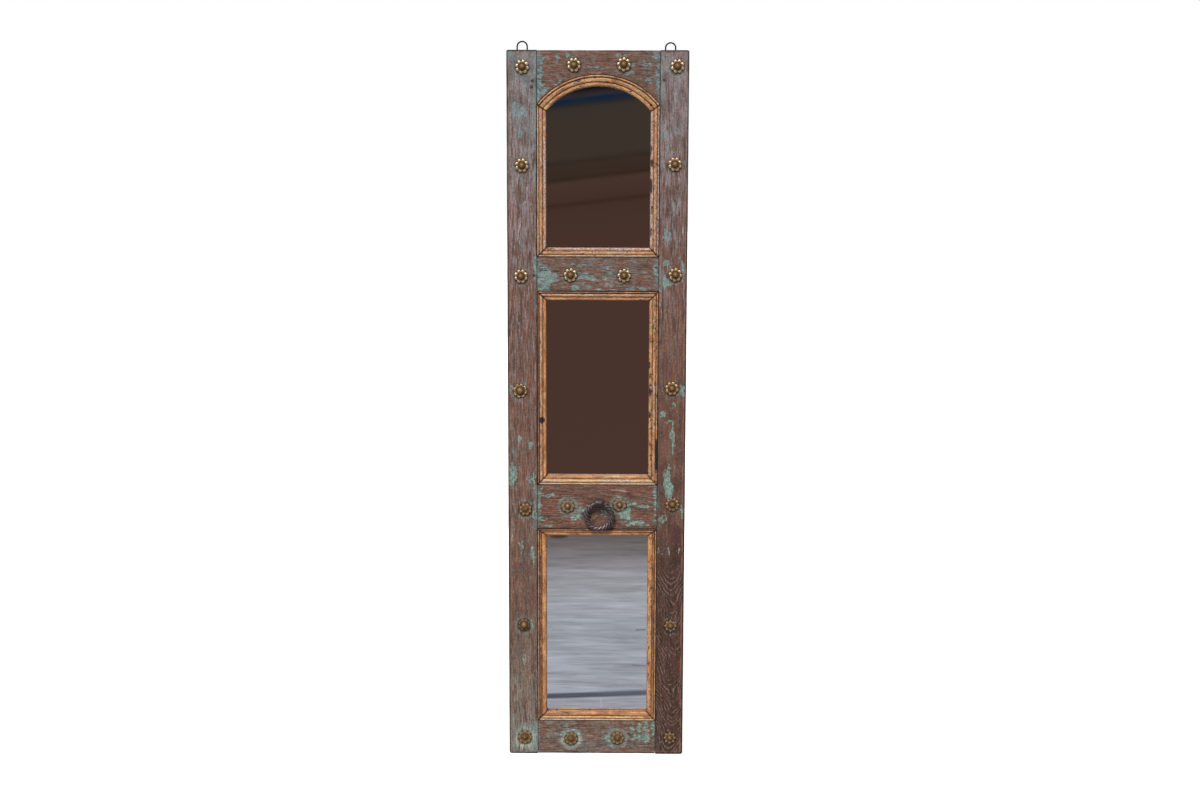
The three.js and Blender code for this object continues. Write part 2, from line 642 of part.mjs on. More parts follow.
// ---------------------------------------------------------------- ring pull
// The eye's bore widens towards its ends as the inner side of the ring bends away, so that
// the ring can swing.
function boreRadius(across) {
  const inside = RING_RADIUS - RING_NECK_RADIUS;
  const bend = inside - Math.sqrt(inside ** 2 - across ** 2);
  return RING_NECK_RADIUS + BORE_CLEARANCE + bend;
}

function makeStaple() {
  const half = EYE_WIDTH / 2;
  const outside = [
    [-half, EYE_RADIUS - EYE_ROUNDING],
    [-half + EYE_ROUNDING, EYE_RADIUS],
    [half - EYE_ROUNDING, EYE_RADIUS],
    [half, EYE_RADIUS - EYE_ROUNDING],
  ];
  const stations = [1, 0.6, 0.2, -0.2, -0.6, -1].map((share) => share * half);
  const profile = [...outside, ...stations.map((x) => [x, boreRadius(x)]), outside[0]];
  const turned = profile.map(([x, r]) => new THREE.Vector2(r, x));
  const eye = new THREE.LatheGeometry(turned, FINE_SIDES);
  eye.rotateZ(Math.PI / 2);
  const legHalf = STAPLE_LEG_WIDTH / 2;
  const legHalfHeight = STAPLE_LEG_HEIGHT / 2;
  const clinch = BACK + SEAT_GAP - EYE_Y;
  const tip = clinch + CLINCH_THICKNESS;
  const root = boreRadius(legHalf) + CLINCH_THICKNESS / 2;
  const legs = block(-legHalf, legHalf, root, tip, -legHalfHeight, legHalfHeight);
  const reach = legHalfHeight + CLINCH_LENGTH;
  const clinched = block(-legHalf, legHalf, clinch, tip, -reach, reach);
  const whole = solid(eye).add(solid(legs)).add(solid(clinched));
  const made = mesh("ring_staple", geometryOf(whole), "iron");
  made.position.set(EYE_X, EYE_Y, EYE_Z);
  return made;
}

// The bar is square and twisted, but round where the eye holds it.
function makeRing() {
  const steps = RING_STEPS_PER_TURN * RING_TURNS;
  const neckAngle = Math.asin(EYE_WIDTH / 2 / RING_RADIUS);
  const fade = neckAngle / 2;
  const path = arc(0, -RING_RADIUS, RING_RADIUS, Math.PI / 2, 2.5 * Math.PI, steps).slice(0, steps);
  const fromTop = (i) => (2 * Math.PI * Math.min(i, steps - i)) / steps;
  const section = (i) => {
    const twist = THREE.MathUtils.smoothstep(fromTop(i), neckAngle, neckAngle + fade);
    const bar = RING_NECK_RADIUS + (RING_BAR_RADIUS - RING_NECK_RADIUS) * twist;
    const radius = (j) => bar * (1 + RING_LOBE * twist * (j % 2 ? -1 : 1));
    return Array.from({ length: SMALL_SIDES }, (_, j) => radius(j));
  };
  const ring = closedBar(path, section, (i) => (2 * Math.PI * RING_TURNS * i) / steps);
  const made = mesh("ring_pull", ring, "iron");
  made.position.set(EYE_X, EYE_Y, RING_PIVOT_Z);
  return made;
}

// ---------------------------------------------------------------- hangers
function makeLoop(hanger) {
  const half = LOOP_HALF_WIDTH;
  const round = LOOP_CORNER_RADIUS;
  const quarter = Math.PI / 2;
  const path = [
    ...arc(half - round, round, round, -quarter, 0, 3),
    ...arc(0, LOOP_HEIGHT - half, half, 0, 2 * quarter, 14),
    ...arc(-half + round, round, round, 2 * quarter, 3 * quarter, 3),
  ];
  const wire = Array(SMALL_SIDES).fill(LOOP_WIRE_RADIUS);
  const made = mesh("hanger_loop_" + hanger.side, closedBar(path, () => wire, () => 0), "wire");
  made.position.set(hanger.x, LOOP_Y, hanger.z);
  return made;
}

function rodAlongX(radius, length, sides) {
  return new THREE.CylinderGeometry(radius, radius, length, sides).rotateZ(Math.PI / 2);
}

function makeStrap(hanger) {
  const half = STRAP_WIDTH / 2;
  const front = -KNUCKLE_RADIUS;
  const tongue = solid(block(-half, half, front, front + STRAP_THICKNESS, -STRAP_LENGTH, 0));
  const knuckle = solid(rodAlongX(KNUCKLE_RADIUS, STRAP_WIDTH, FINE_SIDES));
  const bore = solid(rodAlongX(LOOP_WIRE_RADIUS + KNUCKLE_CLEARANCE, STRAP_WIDTH + 2, ROUND_SIDES));
  const holes = SCREW_DROPS.map((drop) =>
    solid(rod(SCREW_RADIUS + HOLE_CLEARANCE, 0, -drop, front - 1, front + STRAP_THICKNESS + 1, ROUND_SIDES)),
  );
  const strap = bored(tongue.add(knuckle), [bore, ...holes]);
  const made = mesh("hanger_strap_" + hanger.side, geometryOf(strap), "zinc");
  made.position.set(hanger.x, LOOP_Y, hanger.z);
  return made;
}

function makeScrew(hanger, drop, name) {
  const profile = [
    [0, -SCREW_LENGTH],
    [SCREW_RADIUS, -SCREW_LENGTH + 2 * SCREW_RADIUS],
    [SCREW_RADIUS, 0],
    [SCREW_HEAD_RADIUS, 0],
    [SCREW_HEAD_RADIUS * 0.8, SCREW_HEAD_HEIGHT * 0.75],
    [0, SCREW_HEAD_HEIGHT],
  ].map(([r, y]) => new THREE.Vector2(r, y));
  const made = mesh(name, new THREE.LatheGeometry(profile, ROUND_SIDES), "zinc");
  const seat = BACK + SEAT_GAP + STRAP_THICKNESS + SEAT_GAP;
  made.position.set(hanger.x, seat, hanger.z - drop);
  return made;
}

function makeHanger(hanger) {
  const group = new THREE.Group();
  group.add(makeStrap(hanger), makeLoop(hanger));
  SCREW_DROPS.forEach((drop, i) => {
    group.add(makeScrew(hanger, drop, "hanger_screw_" + hanger.side + "_" + (i + 1)));
  });
  return group;
}

// ---------------------------------------------------------------- the mirror
const shutterMirror = new THREE.Group();
shutterMirror.add(
  makeFrame(),
  makePane("upper", UPPER_PANE),
  makePane("middle", MIDDLE_PANE),
  makePane("lower", LOWER_PANE),
  makeMouldings("upper", UPPER_PANE, MOULDING_WIDTH),
  makeArchMoulding(),
  makeMouldings("middle", MIDDLE_PANE, MOULDING_WIDTH),
  makeMouldings("lower", LOWER_PANE, NARROW_MOULDING_WIDTH),
  ...FLOWERS.map(makeFlower),
  makeStaple(),
  makeRing(),
  ...HANGERS.map(makeHanger),
);

export default shutterMirror;
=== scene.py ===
import itertools
import math

import bpy
import numpy as np
from mathutils import Matrix, Vector


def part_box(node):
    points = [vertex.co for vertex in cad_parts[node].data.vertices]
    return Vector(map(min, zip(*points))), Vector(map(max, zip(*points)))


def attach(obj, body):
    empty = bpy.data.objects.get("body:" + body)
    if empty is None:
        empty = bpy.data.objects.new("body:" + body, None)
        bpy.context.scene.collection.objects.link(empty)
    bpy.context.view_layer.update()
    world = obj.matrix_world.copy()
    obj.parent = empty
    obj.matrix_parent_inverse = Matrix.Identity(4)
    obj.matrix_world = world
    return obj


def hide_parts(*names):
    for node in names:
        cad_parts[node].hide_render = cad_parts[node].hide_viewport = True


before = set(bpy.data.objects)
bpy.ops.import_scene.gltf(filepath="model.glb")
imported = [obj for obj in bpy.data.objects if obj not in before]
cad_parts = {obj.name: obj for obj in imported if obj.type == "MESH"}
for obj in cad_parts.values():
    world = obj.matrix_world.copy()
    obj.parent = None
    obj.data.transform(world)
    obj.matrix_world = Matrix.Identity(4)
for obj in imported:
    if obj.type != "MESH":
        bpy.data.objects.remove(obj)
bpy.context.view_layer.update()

MM = 0.001
TURN = 2 * math.pi

# ---------------------------------------------------------------- sizes of the frame
HEIGHT = 1820 * MM
HALF_WIDTH = 228.5 * MM
FRONT = -19 * MM
RAIL_FRONT = -17 * MM
BACK = 19 * MM
GAP = 0.3 * MM
OPENING_LEFT = -152.5 * MM
OPENING_RIGHT = 156 * MM
OPENING_MIDDLE = (OPENING_LEFT + OPENING_RIGHT) / 2
OPENING_HALF = (OPENING_RIGHT - OPENING_LEFT) / 2
LOWER_PANE = (90 * MM, 604.5 * MM)
MIDDLE_PANE = (720.5 * MM, 1219.5 * MM)
UPPER_PANE = (1306.5 * MM, 1760 * MM)
ARCH_RISE = 73.8 * MM
ARCH_RADIUS = (OPENING_HALF**2 + ARCH_RISE**2) / (2 * ARCH_RISE)
ARCH_CENTRE = UPPER_PANE[1] - ARCH_RADIUS
ARCH_END = UPPER_PANE[1] - ARCH_RISE
RAILS = ((0, LOWER_PANE[0]), (LOWER_PANE[1], MIDDLE_PANE[0]), (MIDDLE_PANE[1], UPPER_PANE[0]),
         (ARCH_END, HEIGHT))
TOP_CORNER = 4 * MM
BOTTOM_CORNER = 5.5 * MM
GLASS_FRONT = 3.5 * MM
REBATE = 8 * MM
REBATE_FRONT = 3.2 * MM
BACKING_BACK = 12.8 * MM

# ---------------------------------------------------------------- the photograph's camera
PHOTO_WIDTH, PHOTO_HEIGHT = 1200, 795
SENSOR = 36.0
LENS = 46.10
FOCAL = LENS / SENSOR * PHOTO_WIDTH
CAMERA_PLACE = np.array([0.0388, -3.919, 1.4595])
PITCH, YAW, ROLL = (math.radians(a) for a in (7.466, -0.451, 0.176))


def camera_axes():
    """The camera's directions to the right, up and forward."""
    forward = np.array(
        [math.sin(YAW) * math.cos(PITCH), math.cos(YAW) * math.cos(PITCH), -math.sin(PITCH)]
    )
    right = np.array([math.cos(YAW), -math.sin(YAW), 0.0])
    up = np.cross(right, forward)
    return (
        math.cos(ROLL) * right + math.sin(ROLL) * up,
        math.cos(ROLL) * up - math.sin(ROLL) * right,
        forward,
    )


RIGHT, UP, FORWARD = camera_axes()


def in_photo(points):
    """Where points on the frame's face are in the photograph, in its pixels."""
    rays = points - CAMERA_PLACE
    depth = rays @ FORWARD
    return (
        PHOTO_WIDTH / 2 + FOCAL * (rays @ RIGHT) / depth,
        PHOTO_HEIGHT / 2 - FOCAL * (rays @ UP) / depth,
    )


def make_camera():
    data = bpy.data.cameras.new("photo_camera")
    data.sensor_width = SENSOR
    data.lens = LENS
    data.clip_end = 100
    camera = bpy.data.objects.new("photo_camera", data)
    bpy.context.scene.collection.objects.link(camera)
    axes = Matrix([list(RIGHT), list(UP), list(-FORWARD)]).transposed()
    camera.matrix_world = Matrix.Translation(Vector(CAMERA_PLACE)) @ axes.to_4x4()
    bpy.context.scene.camera = camera


# ---------------------------------------------------------------- noise
def lattice(cell, seed):
    """A number from 0 to 1 for each whole-numbered cell, the same on every run."""
    c = cell.astype(np.int64).astype(np.uint32)
    h = c[:, 0] * np.uint32(374761393) + c[:, 1] * np.uint32(668265263)
    h = h + c[:, 2] * np.uint32(2246822519) + np.uint32(seed * 40503 + 977)
    h = (h ^ (h >> np.uint32(15))) * np.uint32(2246822519)
    h = (h ^ (h >> np.uint32(13))) * np.uint32(3266489917)
    return (h ^ (h >> np.uint32(16))) / 2**32


def noise(points, size, seed, octaves=2):
    """Smooth noise from 0 to 1. size is the width of its features in mm, along all axes or
    along each."""
    flat = points.reshape(-1, 3)
    total, weight, amount = np.zeros(len(flat)), 0.0, 1.0
    for octave in range(octaves):
        p = flat / (np.array(size) * MM * amount)
        base = np.floor(p)
        f = p - base
        f = f * f * (3 - 2 * f)
        for corner in itertools.product((0, 1), repeat=3):
            share = np.prod(np.where(corner, f, 1 - f), axis=1)
            total += amount * share * lattice(base + corner, seed + 31 * octave)
        weight += amount
        amount /= 2
    return (total / weight).reshape(points.shape[:-1])


def along_grain(across, length, along):
    """The size of a noise's features where the grain follows axis along."""
    return [length if axis == along else across for axis in range(3)]


def rise(value, low, high):
    """0 up to low, 1 from high on and a smooth rise between, or a fall where high is less."""
    t = np.clip((value - low) / (high - low), 0, 1)
    return t * t * (3 - 2 * t)


def circle(steps):
    """The angles of a full turn's steps."""
    return np.linspace(0, TURN, steps, endpoint=False)


# ---------------------------------------------------------------- meshes
# The room that a map leaves at its edge, round its strips and between them, and where it
# holds the two end caps.
MAP_EDGE = 0.01
MAP_ROOM = 1.04
STRIPS_APART = 1.02
STRIP_ROOM = 1.05
CAPS_LEFT, CAPS_LOW, CAP_WIDE, CAP_HIGH = 0.985, 0.99, 0.004, 0.005


def uv_of_grid(points, closed):
    """A map for a grid of points that is unrolled, cut in lengths and laid side by side."""
    around = np.concatenate([points, points[:, :1]], axis=1)
    along = np.concatenate([points, points[:1]]) if closed else points
    around = np.linalg.norm(np.diff(around, axis=1), axis=2).max(axis=0)
    along = np.linalg.norm(np.diff(along, axis=0), axis=2).mean(axis=1)
    u, v = (np.concatenate([[0], np.cumsum(steps)]) for steps in (around, along))
    strips = max(1, round(math.sqrt(v[-1] / u[-1])))
    strip_height = v[-1] / strips
    strip = np.minimum(((v[:-1] + v[1:]) / 2 / strip_height).astype(int), strips - 1)
    size = MAP_ROOM * max(strips * u[-1] * STRIPS_APART, strip_height * STRIP_ROOM)
    left = MAP_EDGE + (strip * u[-1] * STRIPS_APART)[:, None] / size
    low, high = (
        MAP_EDGE + ((end - strip * strip_height) / size)[:, None] for end in (v[:-1], v[1:])
    )
    first, last = u[None, :-1] / size, u[None, 1:] / size
    corners = [(left + first, low), (left + last, low), (left + last, high), (left + first, high)]
    return np.stack([np.stack(np.broadcast_arrays(a, b), -1) for a, b in corners], axis=2)


def grid_piece(name, points, material, nodes, fields=None, body="frame", closed=False):
    """A piece from rings of points: points[i, j] is point j of ring i. Its ends are capped
    unless the last ring joins the first. fields holds a value per point for the material."""
    n, m = points.shape[:2]
    index = np.arange(n * m).reshape(n, m)
    following = np.roll(index, -1, axis=1)
    corners = [index, following, np.roll(following, -1, axis=0), np.roll(index, -1, axis=0)]
    rings = n if closed else n - 1
    faces = np.stack([c[:rings] for c in corners], axis=-1).reshape(-1, 4).tolist()
    uv = list(uv_of_grid(points, closed).reshape(-1, 4, 2))
    vertices = points.reshape(-1, 3)
    if not closed:
        for centre, (ring, way) in enumerate(((0, -1), (n - 1, 1)), n * m):
            for a, b in zip(index[ring].tolist(), following[ring].tolist()):
                faces.append([a, b, centre] if way == 1 else [b, a, centre])
                at = CAPS_LEFT + MAP_EDGE * ring / n
                uv.append(
                    np.array([[at, CAPS_LOW], [at + CAP_WIDE, CAPS_LOW], [at, CAPS_LOW + CAP_HIGH]])
                )
        vertices = np.concatenate([vertices, [points[0].mean(axis=0), points[-1].mean(axis=0)]])

    def volume(triangles):
        a, b, c = vertices[np.array(triangles)].transpose(1, 0, 2)
        return np.einsum("ij,ij->", a, np.cross(b, c))

    if volume([f[:3] for f in faces] + [[f[0], f[2], f[3]] for f in faces if len(f) == 4]) < 0:
        faces = [f[::-1] for f in faces]
        uv = [c[::-1] for c in uv]
    mesh = bpy.data.meshes.new(name)
    mesh.from_pydata(vertices.tolist(), [], faces)
    layer = mesh.uv_layers.new(name="OFBake")
    layer.data.foreach_set("uv", np.concatenate(uv).astype(np.float32).ravel())
    mesh.shade_smooth()
    for field, values in (fields or {}).items():
        flat = np.asarray(values, float).reshape(n, m)
        ends = [] if closed else [flat[0].mean(), flat[-1].mean()]
        values = np.concatenate([flat.ravel(), ends]).astype(np.float32)
        mesh.attributes.new(field, "FLOAT", "POINT").data.foreach_set("value", values)
    mesh.materials.append(material)
    made = bpy.data.objects.new(name, mesh)
    bpy.context.scene.collection.objects.link(made)
    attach(made, body)
    if nodes:
        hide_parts(*nodes)


# ---------------------------------------------------------------- shaders
def rgb(red, green, blue):
    """A colour as a screen shows it, from 0 to 255, as Blender's linear colour."""
    linear = [
        c / 12.92 if c <= 0.04045 else ((c + 0.055) / 1.055) ** 2.4
        for c in (red / 255, green / 255, blue / 255)
    ]
    return (*linear, 1.0)


class Value:
    """What a node of a shader gives, so that sums of such values read as sums."""

    def __init__(self, shader, socket):
        self.shader = shader
        self.socket = socket

    def __add__(self, other):
        return self.shader.math("ADD", self, other)

    def __sub__(self, other):
        return self.shader.math("SUBTRACT", self, other)

    def __rsub__(self, other):
        return self.shader.math("SUBTRACT", other, self)

    def __mul__(self, other):
        return self.shader.math("MULTIPLY", self, other)


class Shader:
    """A node material that is written as sums of its layers."""

    def __init__(self, name):
        self.material = bpy.data.materials.new(name)
        self.material.use_nodes = True
        self.tree = self.material.node_tree
        self.surface = self.tree.nodes["Principled BSDF"]
        self.place = self.node("ShaderNodeTexCoord", {}, "Object")

    def node(self, kind, inputs, output=0, **settings):
        """A new node with these inputs and settings, and what its output gives."""
        made = self.tree.nodes.new(kind)
        for key, value in settings.items():
            setattr(made, key, value)
        for key, value in inputs.items():
            self.put(made.inputs[key], value)
        return Value(self, made.outputs[output])

    def put(self, socket, value):
        if isinstance(value, Value):
            self.tree.links.new(value.socket, socket)
        else:
            socket.default_value = value

    def math(self, operation, a, b=0.0, clamp=False):
        return self.node("ShaderNodeMath", {0: a, 1: b}, operation=operation, use_clamp=clamp)

    def mix(self, share, a, b, blend="MIX"):
        inputs = {"Factor": share, 6: a, 7: b}
        return self.node("ShaderNodeMix", inputs, 2, data_type="RGBA", blend_type=blend)

    def rise(self, value, low, high, to_low=0.0, to_high=1.0, kind="SMOOTHSTEP"):
        inputs = dict(enumerate((value, low, high, to_low, to_high)))
        return self.node("ShaderNodeMapRange", inputs, interpolation_type=kind)

    def noise(self, size, detail=3.0, roughness=0.55, distortion=0.0):
        """Noise whose features are size millimetres across, along all axes or each."""
        scale = [1 / (s * MM) for s in np.broadcast_to(size, 3).tolist()]
        place = self.node("ShaderNodeMapping", {"Vector": self.place, "Scale": scale})
        inputs = {"Vector": place, "Scale": 1.0, "Detail": detail, "Roughness": roughness}
        inputs["Distortion"] = distortion
        return self.node("ShaderNodeTexNoise", inputs, "Fac")

    def field(self, name):
        """A value that the mesh holds per point."""
        return self.node("ShaderNodeAttribute", {}, "Fac", attribute_name=name)

    def axes(self):
        """The place's X, Y and Z."""
        parts = self.node("ShaderNodeSeparateXYZ", {0: self.place})
        return [Value(self, socket) for socket in parts.socket.node.outputs]

    def film(self, field, ragged, amount):
        """The mesh's cover of a coat, broken up by a noise."""
        return self.field(field) + (ragged - 0.5) * amount

    def mottle(self, noise, dark, light, low=0.36, high=0.64):
        """A colour that a noise takes from dark to light."""
        return self.mix(self.rise(noise, low, high), dark, light)

    def coat(self, colour, field, ragged, amount, low, high, strength, over):
        """A colour under what is left of a coat."""
        cover = self.rise(self.film(field, ragged, amount), low, high)
        return self.mix(cover * strength, colour, over)

    def shade(self, colour, noise, low, high, dark, light):
        """A colour that a noise makes from dark to light times as bright."""
        share = self.rise(noise, low, high, dark, light)
        grey = self.node("ShaderNodeCombineColor", {0: share, 1: share, 2: share})
        return self.mix(1.0, colour, grey, "MULTIPLY")

    def ramp(self, value, stops):
        """A colour that follows a value through stops of a value and a colour."""
        low, high = stops[0][0], stops[-1][0]
        share = self.rise(value, low, high, kind="LINEAR")
        made = self.node("ShaderNodeValToRGB", {0: share})
        elements = made.socket.node.color_ramp.elements
        while len(elements) < len(stops):
            elements.new(0.5)
        for element, (at, colour) in zip(elements, stops):
            element.position = (at - low) / (high - low)
            element.color = colour
        return made

    def bump(self, height, distance, strength=1.0):
        inputs = {"Strength": strength, "Distance": distance, "Height": height}
        self.put(self.surface.inputs["Normal"], self.node("ShaderNodeBump", inputs))

    def finish(self, colour, roughness, metallic=0.0, specular=0.5):
        inputs = self.surface.inputs
        self.put(inputs["Base Color"], colour)
        self.put(inputs["Roughness"], roughness)
        self.put(inputs["Metallic"], metallic)
        self.put(inputs["Specular IOR Level"], specular)
        return self.material

    def glow(self, colour):
        """Finish as a surface that gives off a colour and reflects nothing."""
        self.tree.nodes.remove(self.surface)
        light = self.node("ShaderNodeEmission", {"Color": colour})
        self.put(self.tree.nodes["Material Output"].inputs["Surface"], light)
        return self.material


def wood_material(name, along):
    """Old wood under worn coats of paint. along is the axis of its grain, 0 or 2."""
    s = Shader(name)

    def grain(across, length, **settings):
        return s.noise(along_grain(across, length, along), **settings)

    fibre = grain(1.0, 22, detail=4)
    streak = grain(2.8, 34, detail=4, roughness=0.6)
    band = grain(9, 150, detail=3, distortion=0.6)
    cloud = grain(26, 46, detail=5, roughness=0.6)
    grit = grain(4.6, 6, detail=5, roughness=0.8)
    speck = grain(6, 7.5, detail=4, roughness=0.8)
    flake = grain(5, 14, detail=6, roughness=0.75)

    colour = s.mottle(band, rgb(88, 62, 52), rgb(124, 93, 78), 0.38, 0.62)
    colour = s.mix(s.rise(streak, 0.42, 0.68) * 0.5, colour, rgb(150, 122, 106))
    # Each coat's field, the noise that breaks it up and how much, where its cover starts
    # and is whole, its strength, and the noise and the two colours that mottle it.
    for *coat, mottling, dark, light in (
        ("red", band, 3.2, 0.4, 0.8, 0.85, streak, rgb(96, 54, 40), rgb(138, 84, 62)),
        ("mauve", streak, 3.0, 0.35, 0.85, 0.85, cloud, rgb(114, 100, 102), rgb(150, 136, 140)),
        ("wash", streak, 2.8, 0.35, 1.0, 0.85, fibre, rgb(108, 108, 96), rgb(148, 150, 136)),
        ("haze", flake, 2.4, 0.3, 0.95, 0.75, cloud, rgb(98, 114, 113), rgb(128, 147, 146)),
        ("pale", streak, 2.2, 0.5, 0.85, 0.75, streak, rgb(176, 178, 170), rgb(176, 178, 170)),
        ("deep", streak, 1.2, 0.2, 0.7, 0.94, streak, rgb(50, 32, 26), rgb(86, 55, 43)),
    ):
        colour = s.coat(colour, *coat, s.mottle(mottling, dark, light))
    colour = s.mix(s.rise(speck, 0.56, 0.70) * 0.4, colour, rgb(168, 148, 140))
    colour = s.mix(s.rise(speck, 0.44, 0.30) * 0.4, colour, rgb(92, 54, 42))

    left = s.film("paint", flake, 3.2)
    cover = s.rise(left, 0.44, 0.68)
    rim = s.math("SUBTRACT", s.rise(left, 0.36, 0.48), cover, clamp=True)
    colour = s.mix(rim * 0.4, colour, rgb(62, 42, 36))
    paint = s.mottle(grit, rgb(96, 124, 114), rgb(148, 170, 158))
    paint = s.mix(s.rise(s.axes()[2], 0.9, 1.5), paint, rgb(124, 144, 145))
    colour = s.mix(cover * s.rise(streak, 0.34, 0.54, 0.55, 0.95), colour, paint)

    if along == 2:
        colour = s.mix(loops(s) * 0.52, colour, rgb(160, 144, 132))
    else:
        colour = s.mix(rail_grain(s) * 0.5, colour, rgb(66, 40, 32))
    line = s.rise(streak, 0.40, 0.30) * 0.3
    colour = s.mix(line, colour, rgb(52, 34, 28))
    colour = s.shade(colour, grit, 0.36, 0.64, 0.70, 1.24)
    colour = s.shade(colour, fibre, 0.34, 0.66, 0.9, 1.08)

    inside = outline_distance(s)
    worn = s.rise(inside, 4 * MM, 6 * MM) * s.rise(inside, 10 * MM, 7 * MM)
    worn = worn * s.rise(streak, 0.4, 0.6)
    colour = s.mix(worn * 0.7, colour, rgb(142, 98, 84))
    # Darkest within a few mm of the frame's outer outline: painted shade on the rounded arris. The
    # mesh's field adds dark joints, dirt and painted shade.
    dark = s.math("MAXIMUM", s.field("dirt_and_shade"), s.rise(inside, 5 * MM, 2.6 * MM))
    colour = s.mix(dark * 0.88, colour, rgb(46, 28, 24))
    s.bump(fibre * 0.4 + grit * 0.35 + cover * 0.3 - line * 0.5, 0.7 * MM, 0.9)
    return s.finish(colour, s.rise(fibre, 0.2, 0.8, 0.6, 0.84), specular=0.3)


def outline_distance(s):
    """The distance from the frame's outer edges, as seen from the front."""
    x, y, z = s.axes()
    inside = s.math("MINIMUM", HALF_WIDTH - s.math("ABSOLUTE", x), HEIGHT - z)
    return s.math("MINIMUM", inside, z) + s.rise(y, FRONT + 2.5 * MM, FRONT + 4 * MM)


def loops(s):
    """Pale lines of grain that hang in loops, where the board was cut through its heart."""
    warp = s.noise((90, 90, 55), detail=2.0)
    drift = s.noise((400, 400, 120), detail=1.0)
    broken = s.noise((12, 12, 14), detail=4, roughness=0.7)
    x, _, z = s.axes()
    aside = x - (drift * LOOPS_DRIFT + (LOOPS_MIDDLE - LOOPS_DRIFT / 2))
    reach = s.math("SQRT", aside * aside + LOOPS_ROUND**2)
    wave = s.math("SINE", (reach * -LOOPS_SLOPE + z + warp * GRAIN_WARP) * (TURN / LOOPS_STEP))
    line = s.rise(wave, 0.6, 0.97) * s.rise(broken, 0.40, 0.58, 0.12, 1.0)
    return line * s.field("loops")


def rail_grain(s):
    """Thin dark lines of grain that run along a rail in slow waves."""
    warp = s.noise((110, 110, 34), detail=2.0)
    broken = s.noise((16, 6, 6), detail=3)
    wave = s.math("SINE", (s.axes()[2] + warp * GRAIN_WARP) * (TURN / RAIL_GRAIN_STEP))
    return s.rise(wave, 0.35, 0.9) * s.rise(broken, 0.42, 0.56)


def moulding_material():
    """Gilded wood whose grain runs along each strip, by the measures that its mesh holds."""
    s = Shader("moulding_wood")
    across, depth, along = (s.field(name) for name in ("across", "depth", "along"))
    s.place = s.node("ShaderNodeCombineXYZ", {0: across, 1: depth, 2: along})
    cloud = s.noise((12, 12, 45), detail=4)
    streak = s.noise((2.0, 2.0, 22), detail=5, roughness=0.6)
    grit = s.noise((2.4, 2.4, 5), detail=5, roughness=0.7)
    fibre = s.noise((0.8, 0.8, 9), detail=3)

    colour = s.mottle(cloud, rgb(166, 104, 58), rgb(212, 148, 94))
    gold = s.mottle(streak, rgb(188, 146, 88), rgb(226, 194, 142))
    lilac = s.mottle(grit, rgb(140, 112, 106), rgb(206, 182, 172))
    brown = s.mottle(streak, rgb(78, 48, 34), rgb(128, 84, 58))
    colour = s.coat(colour, "gold", streak, 2.4, 0.3, 0.8, 1.0, gold)
    colour = s.coat(colour, "lilac", grit, 2.6, 0.35, 0.75, 1.0, lilac)
    colour = s.coat(colour, "brown", streak, 3.0, 0.4, 0.7, 1.0, brown)
    colour = s.mix(s.rise(streak, 0.46, 0.34) * 0.7, colour, rgb(108, 64, 40))
    colour = s.coat(colour, "stain", grit, 2.4, 0.45, 0.65, 1.0, rgb(40, 36, 44))
    colour = s.shade(colour, grit, 0.34, 0.66, 0.70, 1.20)
    # Dirt in the pits, dark mitre joints and painted shade in the grooves.
    colour = s.coat(colour, "dirt_and_shade", grit, 2.2, 0.4, 0.75, 0.9, rgb(48, 28, 20))
    s.bump(fibre * 0.4 + grit * 0.6, 0.6 * MM, 0.8)
    return s.finish(colour, s.rise(fibre, 0.2, 0.8, 0.46, 0.72))


def brass_material():
    s = Shader("brass")
    grime = s.noise(2.4, detail=5, roughness=0.65)
    relief = s.film("relief", grime, 0.9)
    # Raised parts are painted a light polished colour and low parts dark brown: partly real polish
    # and tarnish, partly painted highlight and painted shade.
    polish_and_highlight = s.mix(s.field("tarnish"), rgb(212, 194, 156), rgb(206, 160, 98))
    colour = s.mottle(relief, rgb(66, 48, 34), rgb(132, 102, 70), 0.0, 0.35)
    colour = s.mix(s.rise(relief, 0.42, 0.95), colour, polish_and_highlight)
    crust = s.field("crust") * s.rise(grime, 0.36, 0.5)
    colour = s.mix(crust, colour, rgb(116, 102, 86))
    s.bump(grime, 0.4 * MM, 0.6)
    metal = s.rise(crust, 0.6, 0.2) * 0.7
    return s.finish(colour, s.rise(relief, 0.3, 0.9, 0.72, 0.45), metal)


def iron_material():
    s = Shader("iron")
    rust = s.noise(3, detail=5, roughness=0.65)
    colour = s.mottle(rust, rgb(46, 39, 39), rgb(86, 75, 76), 0.34, 0.66)
    # The lighter colour where the mesh paints a highlight: on the twist's crests and on the eye's
    # top.
    edge = s.mottle(rust, rgb(112, 100, 104), rgb(150, 138, 140), 0.34, 0.66)
    colour = s.mix(s.field("highlight"), colour, edge)
    colour = s.mix(s.field("worn"), colour, rgb(188, 172, 154))
    s.bump(rust, 0.5 * MM, 0.6)
    return s.finish(colour, s.rise(rust, 0.2, 0.8, 0.36, 0.6), 0.6)


def plain_metal(name, dark, light, roughness, metallic, grain=2.0, specular=0.5):
    s = Shader(name)
    mottling = s.noise(grain, detail=5, roughness=0.6)
    colour = s.mottle(mottling, dark, light, 0.35, 0.7)
    s.bump(mottling, 0.2 * MM, 0.4)
    rough = s.rise(mottling, 0.2, 0.8, roughness - 0.08, roughness + 0.1)
    return s.finish(colour, rough, metallic, specular)


def mirror_material():
    s = Shader("mirror")
    haze = s.noise(60, detail=5, roughness=0.6)
    return s.finish(rgb(240, 242, 242), s.rise(haze, 0.3, 0.8, 0.015, 0.045), 1.0)


